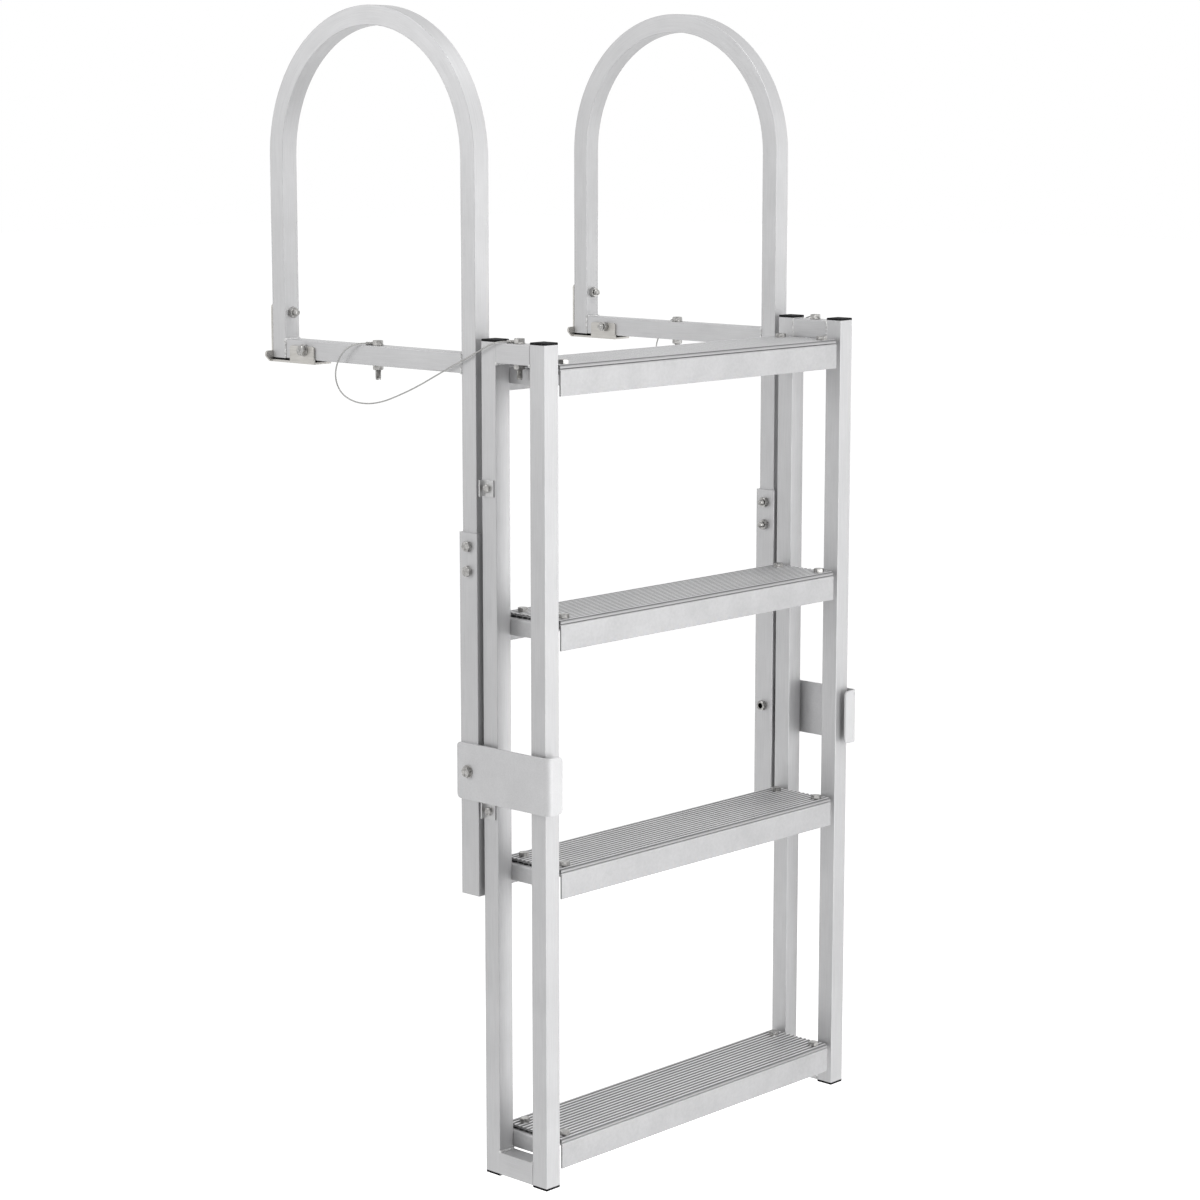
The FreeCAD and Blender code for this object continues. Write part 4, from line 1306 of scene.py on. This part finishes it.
@dataclass
class Tread:
    """One step: a folded pan, a ribbed plank on it and four bolts."""

    number: int
    top: float
    left: float = 20.525
    right: float = 567.725
    front: float = -461.975
    deep: float = 104.41
    foot_high: float = 2.8
    foot_wide: float = 2.4
    foot_pitch: float = 10.0
    foot_count: int = 10
    skirt: float = 1.6
    hem_low: float = 0.7
    lap: float = 0.1
    # Tone of the plank's lower edge and edge strips, from 0 dark to 1 light: painted shade under the
    # plank's edge
    edge_wear: float = 0.42
    # How fast each rib darkens from its crest down: wear on top, painted shade lower down
    wear_power: float = 4.0
    skin_thick: float = 1.6
    rib_high: float = 1.2
    rib_base: float = 5.2
    rib_crest: float = 2.6
    rib_pitch: float = 7.5
    rib_count: int = 14
    bolts_x: tuple[float, float] = (38.025, 550.225)
    bolts_y: tuple[float, float] = (-450.475, -377.975)
    bolt_grip: float = 8.1
    bolt_out: float = 3.0
    broken_edge: float = 0.3

    def across(self, outline: Outline) -> Form:
        """A form with one outline carried from end to end of the plank.

        Args:
            outline: Points in y and z.

        Returns:
            The form.
        """
        form = Form()
        form.bar("x", (0, 0), self.left, self.right, outline)
        return form

    def rib(self) -> Outline:
        """Outline of the first rib with its soft crest."""
        y = self.front + (self.deep - (self.rib_count - 1) * self.rib_pitch) / 2
        low = self.top + self.foot_high + self.skin_thick
        half, crest, high = self.rib_base / 2, self.rib_crest / 2, self.rib_high
        side = [(half, -0.2), (half - 0.35, 0.12), (crest + 0.35, high - 0.3), (crest - 0.15, high - 0.06),
                (crest - 0.7, high)]
        return [(y + a, low + b) for a, b in side] + [(y - a, low + b) for a, b in reversed(side)]

    def plank(self) -> None:
        """Builds the plank: a skin on feet, its two edge strips and its row of ribs."""
        back, under = self.front + self.deep, self.top + self.foot_high
        whole = self.across(rectangle(self.front, back, under, under + self.skin_thick))
        for low, high in ((self.front, self.front + self.skirt), (back - self.skirt, back)):
            hem = rectangle(low, high, self.top + self.hem_low, under + self.lap)
            whole.bar("x", (0, 0), self.left, self.right, hem)
        # Painted shade: the skin's top between the ribs gets the darkest tone, and its lower edge and the
        # edge strips a fixed darker tone
        worn = whole.mesh.verts.layers.float.new("crest")
        for vert in whole.mesh.verts:
            vert[worn] = self.edge_wear if vert.co.z < under + self.skin_thick / 2 else 0.0
        start = self.front + (self.deep - (self.foot_count - 1) * self.foot_pitch) / 2
        half = self.foot_wide / 2
        foot = self.across(rectangle(start - half, start + half, self.top, under + self.lap))
        rib = self.across(self.rib())
        # Each rib goes from light at its crest to dark at its base: worn bright on top, painted shade below
        crest = rib.mesh.verts.layers.float.new("crest")
        for vert in rib.mesh.verts:
            share = (vert.co.z - under - self.skin_thick) / self.rib_high
            vert[crest] = min(1.0, max(0.0, share)) ** self.wear_power
        for unit, count, pitch in ((foot, self.foot_count, self.foot_pitch),
                                   (rib, self.rib_count, self.rib_pitch)):
            whole.absorb(baked(unit.holder("plank_unit"), Trees.row(),
                               {"Count": count, "Pitch": pitch, "Material": PLANK.material()}))
        dressed(whole.piece("tread_plank_%d" % self.number), PLANK, Slot.SHEET, Body.LADDER,
                "tread_cover_%d" % self.number)

    def pan(self) -> None:
        """Breaks the edges of the folded pan."""
        node = "tread_pan_%d" % self.number
        made = softened(node, "folded_pan_%d" % self.number, self.broken_edge)
        dressed(made, PAN, Slot.SHEET, Body.LADDER, node)

    def bolts(self) -> None:
        """Sets the four corner bolts."""
        seat = self.top + self.foot_high + self.skin_thick + self.rib_high
        places = [((x, y, seat), (0, 0, 1)) for x in self.bolts_x for y in self.bolts_y]
        batch = Hardware(seed=20 + self.number)
        batch.set(Fastener(grip=self.bolt_grip, out=self.bolt_out), places)
        batch.piece("tread_fasteners_%d" % self.number, Side.LEFT, Body.LADDER, Slot.STAINLESS,
                    "tread_bolts_%d" % self.number)

    def build(self) -> None:
        """Builds every piece of the tread."""
        self.pan()
        self.plank()
        self.bolts()


@dataclass(frozen=True)
class Lamp:
    """One soft lamp."""

    name: str
    at: Point
    wide: float
    tall: float
    power: float

    def hang(self, aim: Point) -> None:
        """Hangs the lamp and turns it.

        Args:
            aim: The point that it faces.
        """
        data = bpy.data.lights.new(self.name, "AREA")
        data.shape = "RECTANGLE"
        data.size = self.wide
        data.size_y = self.tall
        data.energy = self.power
        made = linked(self.name, data)
        made.location = self.at
        made.rotation_euler = (Vector(aim) - Vector(self.at)).to_track_quat("-Z", "Y").to_euler()
        made.visible_camera = False


@dataclass(frozen=True)
class Studio:
    """Plain pale floor, white surroundings and soft lamps."""

    floor_z: float = -1.39
    floor_side: float = 60.0
    floor_glow: float = 0.78
    ambient: float = 0.28
    aim: Point = (0.29, -0.25, -0.3)
    lamps: tuple[Lamp, ...] = (
        Lamp("front_lamp", at=(0.35, -1.7, -0.3), wide=0.5, tall=1.8, power=12.0),
        Lamp("right_lamp", at=(2.0, -1.4, 0.1), wide=0.8, tall=1.8, power=4.0),
        Lamp("left_lamp", at=(-1.7, 0.75, 0.9), wide=1.0, tall=1.6, power=15.5),
        Lamp("top_lamp", at=(0.4, -1.25, 1.9), wide=1.2, tall=1.2, power=20.0),
    )

    def shown(self, tree: bpy.types.NodeTree) -> bpy.types.NodeSocket:
        """Returns 1 for what the camera sees directly, in metal or through glass, and 0 for soft light."""
        path = add_node(tree, "ShaderNodeLightPath")
        seen = path.outputs["Is Camera Ray"]
        for kind in ("Is Glossy Ray", "Is Transmission Ray"):
            either = add_node(tree, "ShaderNodeMath", {0: seen, 1: path.outputs[kind]}, operation="MAXIMUM")
            seen = either.outputs[0]
        return seen

    def floor(self) -> None:
        """Lays the pale floor, which shows white where nothing shades it."""
        half = self.floor_side / 2
        data = bpy.data.meshes.new("studio_floor")
        corners = [(x, y, self.floor_z) for x, y in rectangle(-half, half, -half, half)]
        data.from_pydata(corners, [], [(0, 1, 2, 3)])
        made = linked("studio_floor", data)
        material = bpy.data.materials.new("matt_white_floor")
        material.use_nodes = True
        tree = material.node_tree
        shader = tree.nodes["Principled BSDF"]
        shader.inputs["Base Color"].default_value = linear("#FFFFFF")
        shader.inputs["Roughness"].default_value = 0.9
        shader.inputs["Specular IOR Level"].default_value = 0.0
        shader.inputs["Emission Color"].default_value = (1, 1, 1, 1)
        glow = add_node(tree, "ShaderNodeMath", {0: self.shown(tree), 1: self.floor_glow},
                        operation="MULTIPLY")
        tree.links.new(glow.outputs[0], shader.inputs["Emission Strength"])
        data.materials.append(material)

    def world(self) -> None:
        """Makes the surroundings white to the eye and in metal, and softer as a light."""
        world = bpy.data.worlds.new("white_studio")
        bpy.context.scene.world = world
        world.use_nodes = True
        tree = world.node_tree
        tree.nodes.clear()
        out = add_node(tree, "ShaderNodeOutputWorld")
        level = add_node(tree, "ShaderNodeMapRange", {"Value": self.shown(tree), "To Min": self.ambient})
        white = add_node(tree, "ShaderNodeBackground", {"Color": (1, 1, 1, 1),
                                                        "Strength": level.outputs["Result"]})
        tree.links.new(white.outputs["Background"], out.inputs["Surface"])

    def build(self) -> None:
        """Builds the whole studio."""
        self.floor()
        self.world()
        for lamp in self.lamps:
            lamp.hang(self.aim)
        bpy.context.scene.view_settings.view_transform = "Standard"


@dataclass(frozen=True)
class WeldLines:
    """Where the left side's welds run, in millimetres."""

    rail_x: float = 12.6
    rail_ends: tuple[float, float] = (15.3, -320.7)
    rail_z: tuple[float, float] = (6.5, 30.6)
    rail_under: float = 5.6
    cross_x: tuple[float, float] = (-10.2, 13.0)
    cross_ends: tuple[float, float] = (-439.2, -380.4)
    cross_z: tuple[tuple[float, float], ...] = ((21.4, 46.0), (-1010.8, -1040.0))
    tread_x: float = 15.6
    tread_corners: tuple[tuple[float, float], ...] = ((-455.6, -12.0), (-364.0, -5.0))
    tread_low: float = -19.5

    def rails(self) -> list[list[Point]]:
        """Runs round both ends of the deck rail, of which the front one also closes below."""
        x, (low, high) = self.rail_x, self.rail_z
        runs = [[(-x, y, low), (-x, y, high), (x, y, high), (x, y, low)] for y in self.rail_ends]
        runs[-1].append((-x, self.rail_ends[-1], self.rail_under))
        return runs

    def crosses(self) -> list[list[Point]]:
        """Runs along one edge and up one side of both cross-members' ends."""
        left, right = self.cross_x
        return [[(left, y, edge), (right, y, edge), (right, y, far)]
                for y in self.cross_ends for edge, far in self.cross_z]

    def treads(self, tops: Sequence[float]) -> list[list[Point]]:
        """Short upright runs at both corners of each tread's end."""
        return [[(self.tread_x, y, top + high), (self.tread_x, y, top + self.tread_low)]
                for top in tops for y, high in self.tread_corners]


def main() -> None:
    """Builds the ladder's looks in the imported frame."""
    logging.basicConfig(level=logging.INFO, format="%(message)s")
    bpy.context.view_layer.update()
    Camera().build()
    for side in Side:
        Tether().build(side)
    for side in Side:
        DockFrame(side, Tube(), Tube(side=31.75, wall=3.175)).build()
    for side in Side:
        SideFrame(side, Tube()).build()
    for number, top in enumerate(TREAD_TOPS, start=1):
        Tread(number, top).build()
    lines = WeldLines()
    Welds().lay("rail_welds", Body.DOCK, lines.rails())
    Welds(radius=2.5, spacing=1.9, seed=4).lay("cross_welds", Body.LADDER, lines.crosses())
    Welds(radius=1.9, spacing=1.3, seed=6).lay("tread_welds", Body.LADDER, lines.treads(TREAD_TOPS))
    Studio().build()


if __name__ == "__main__":
    main()
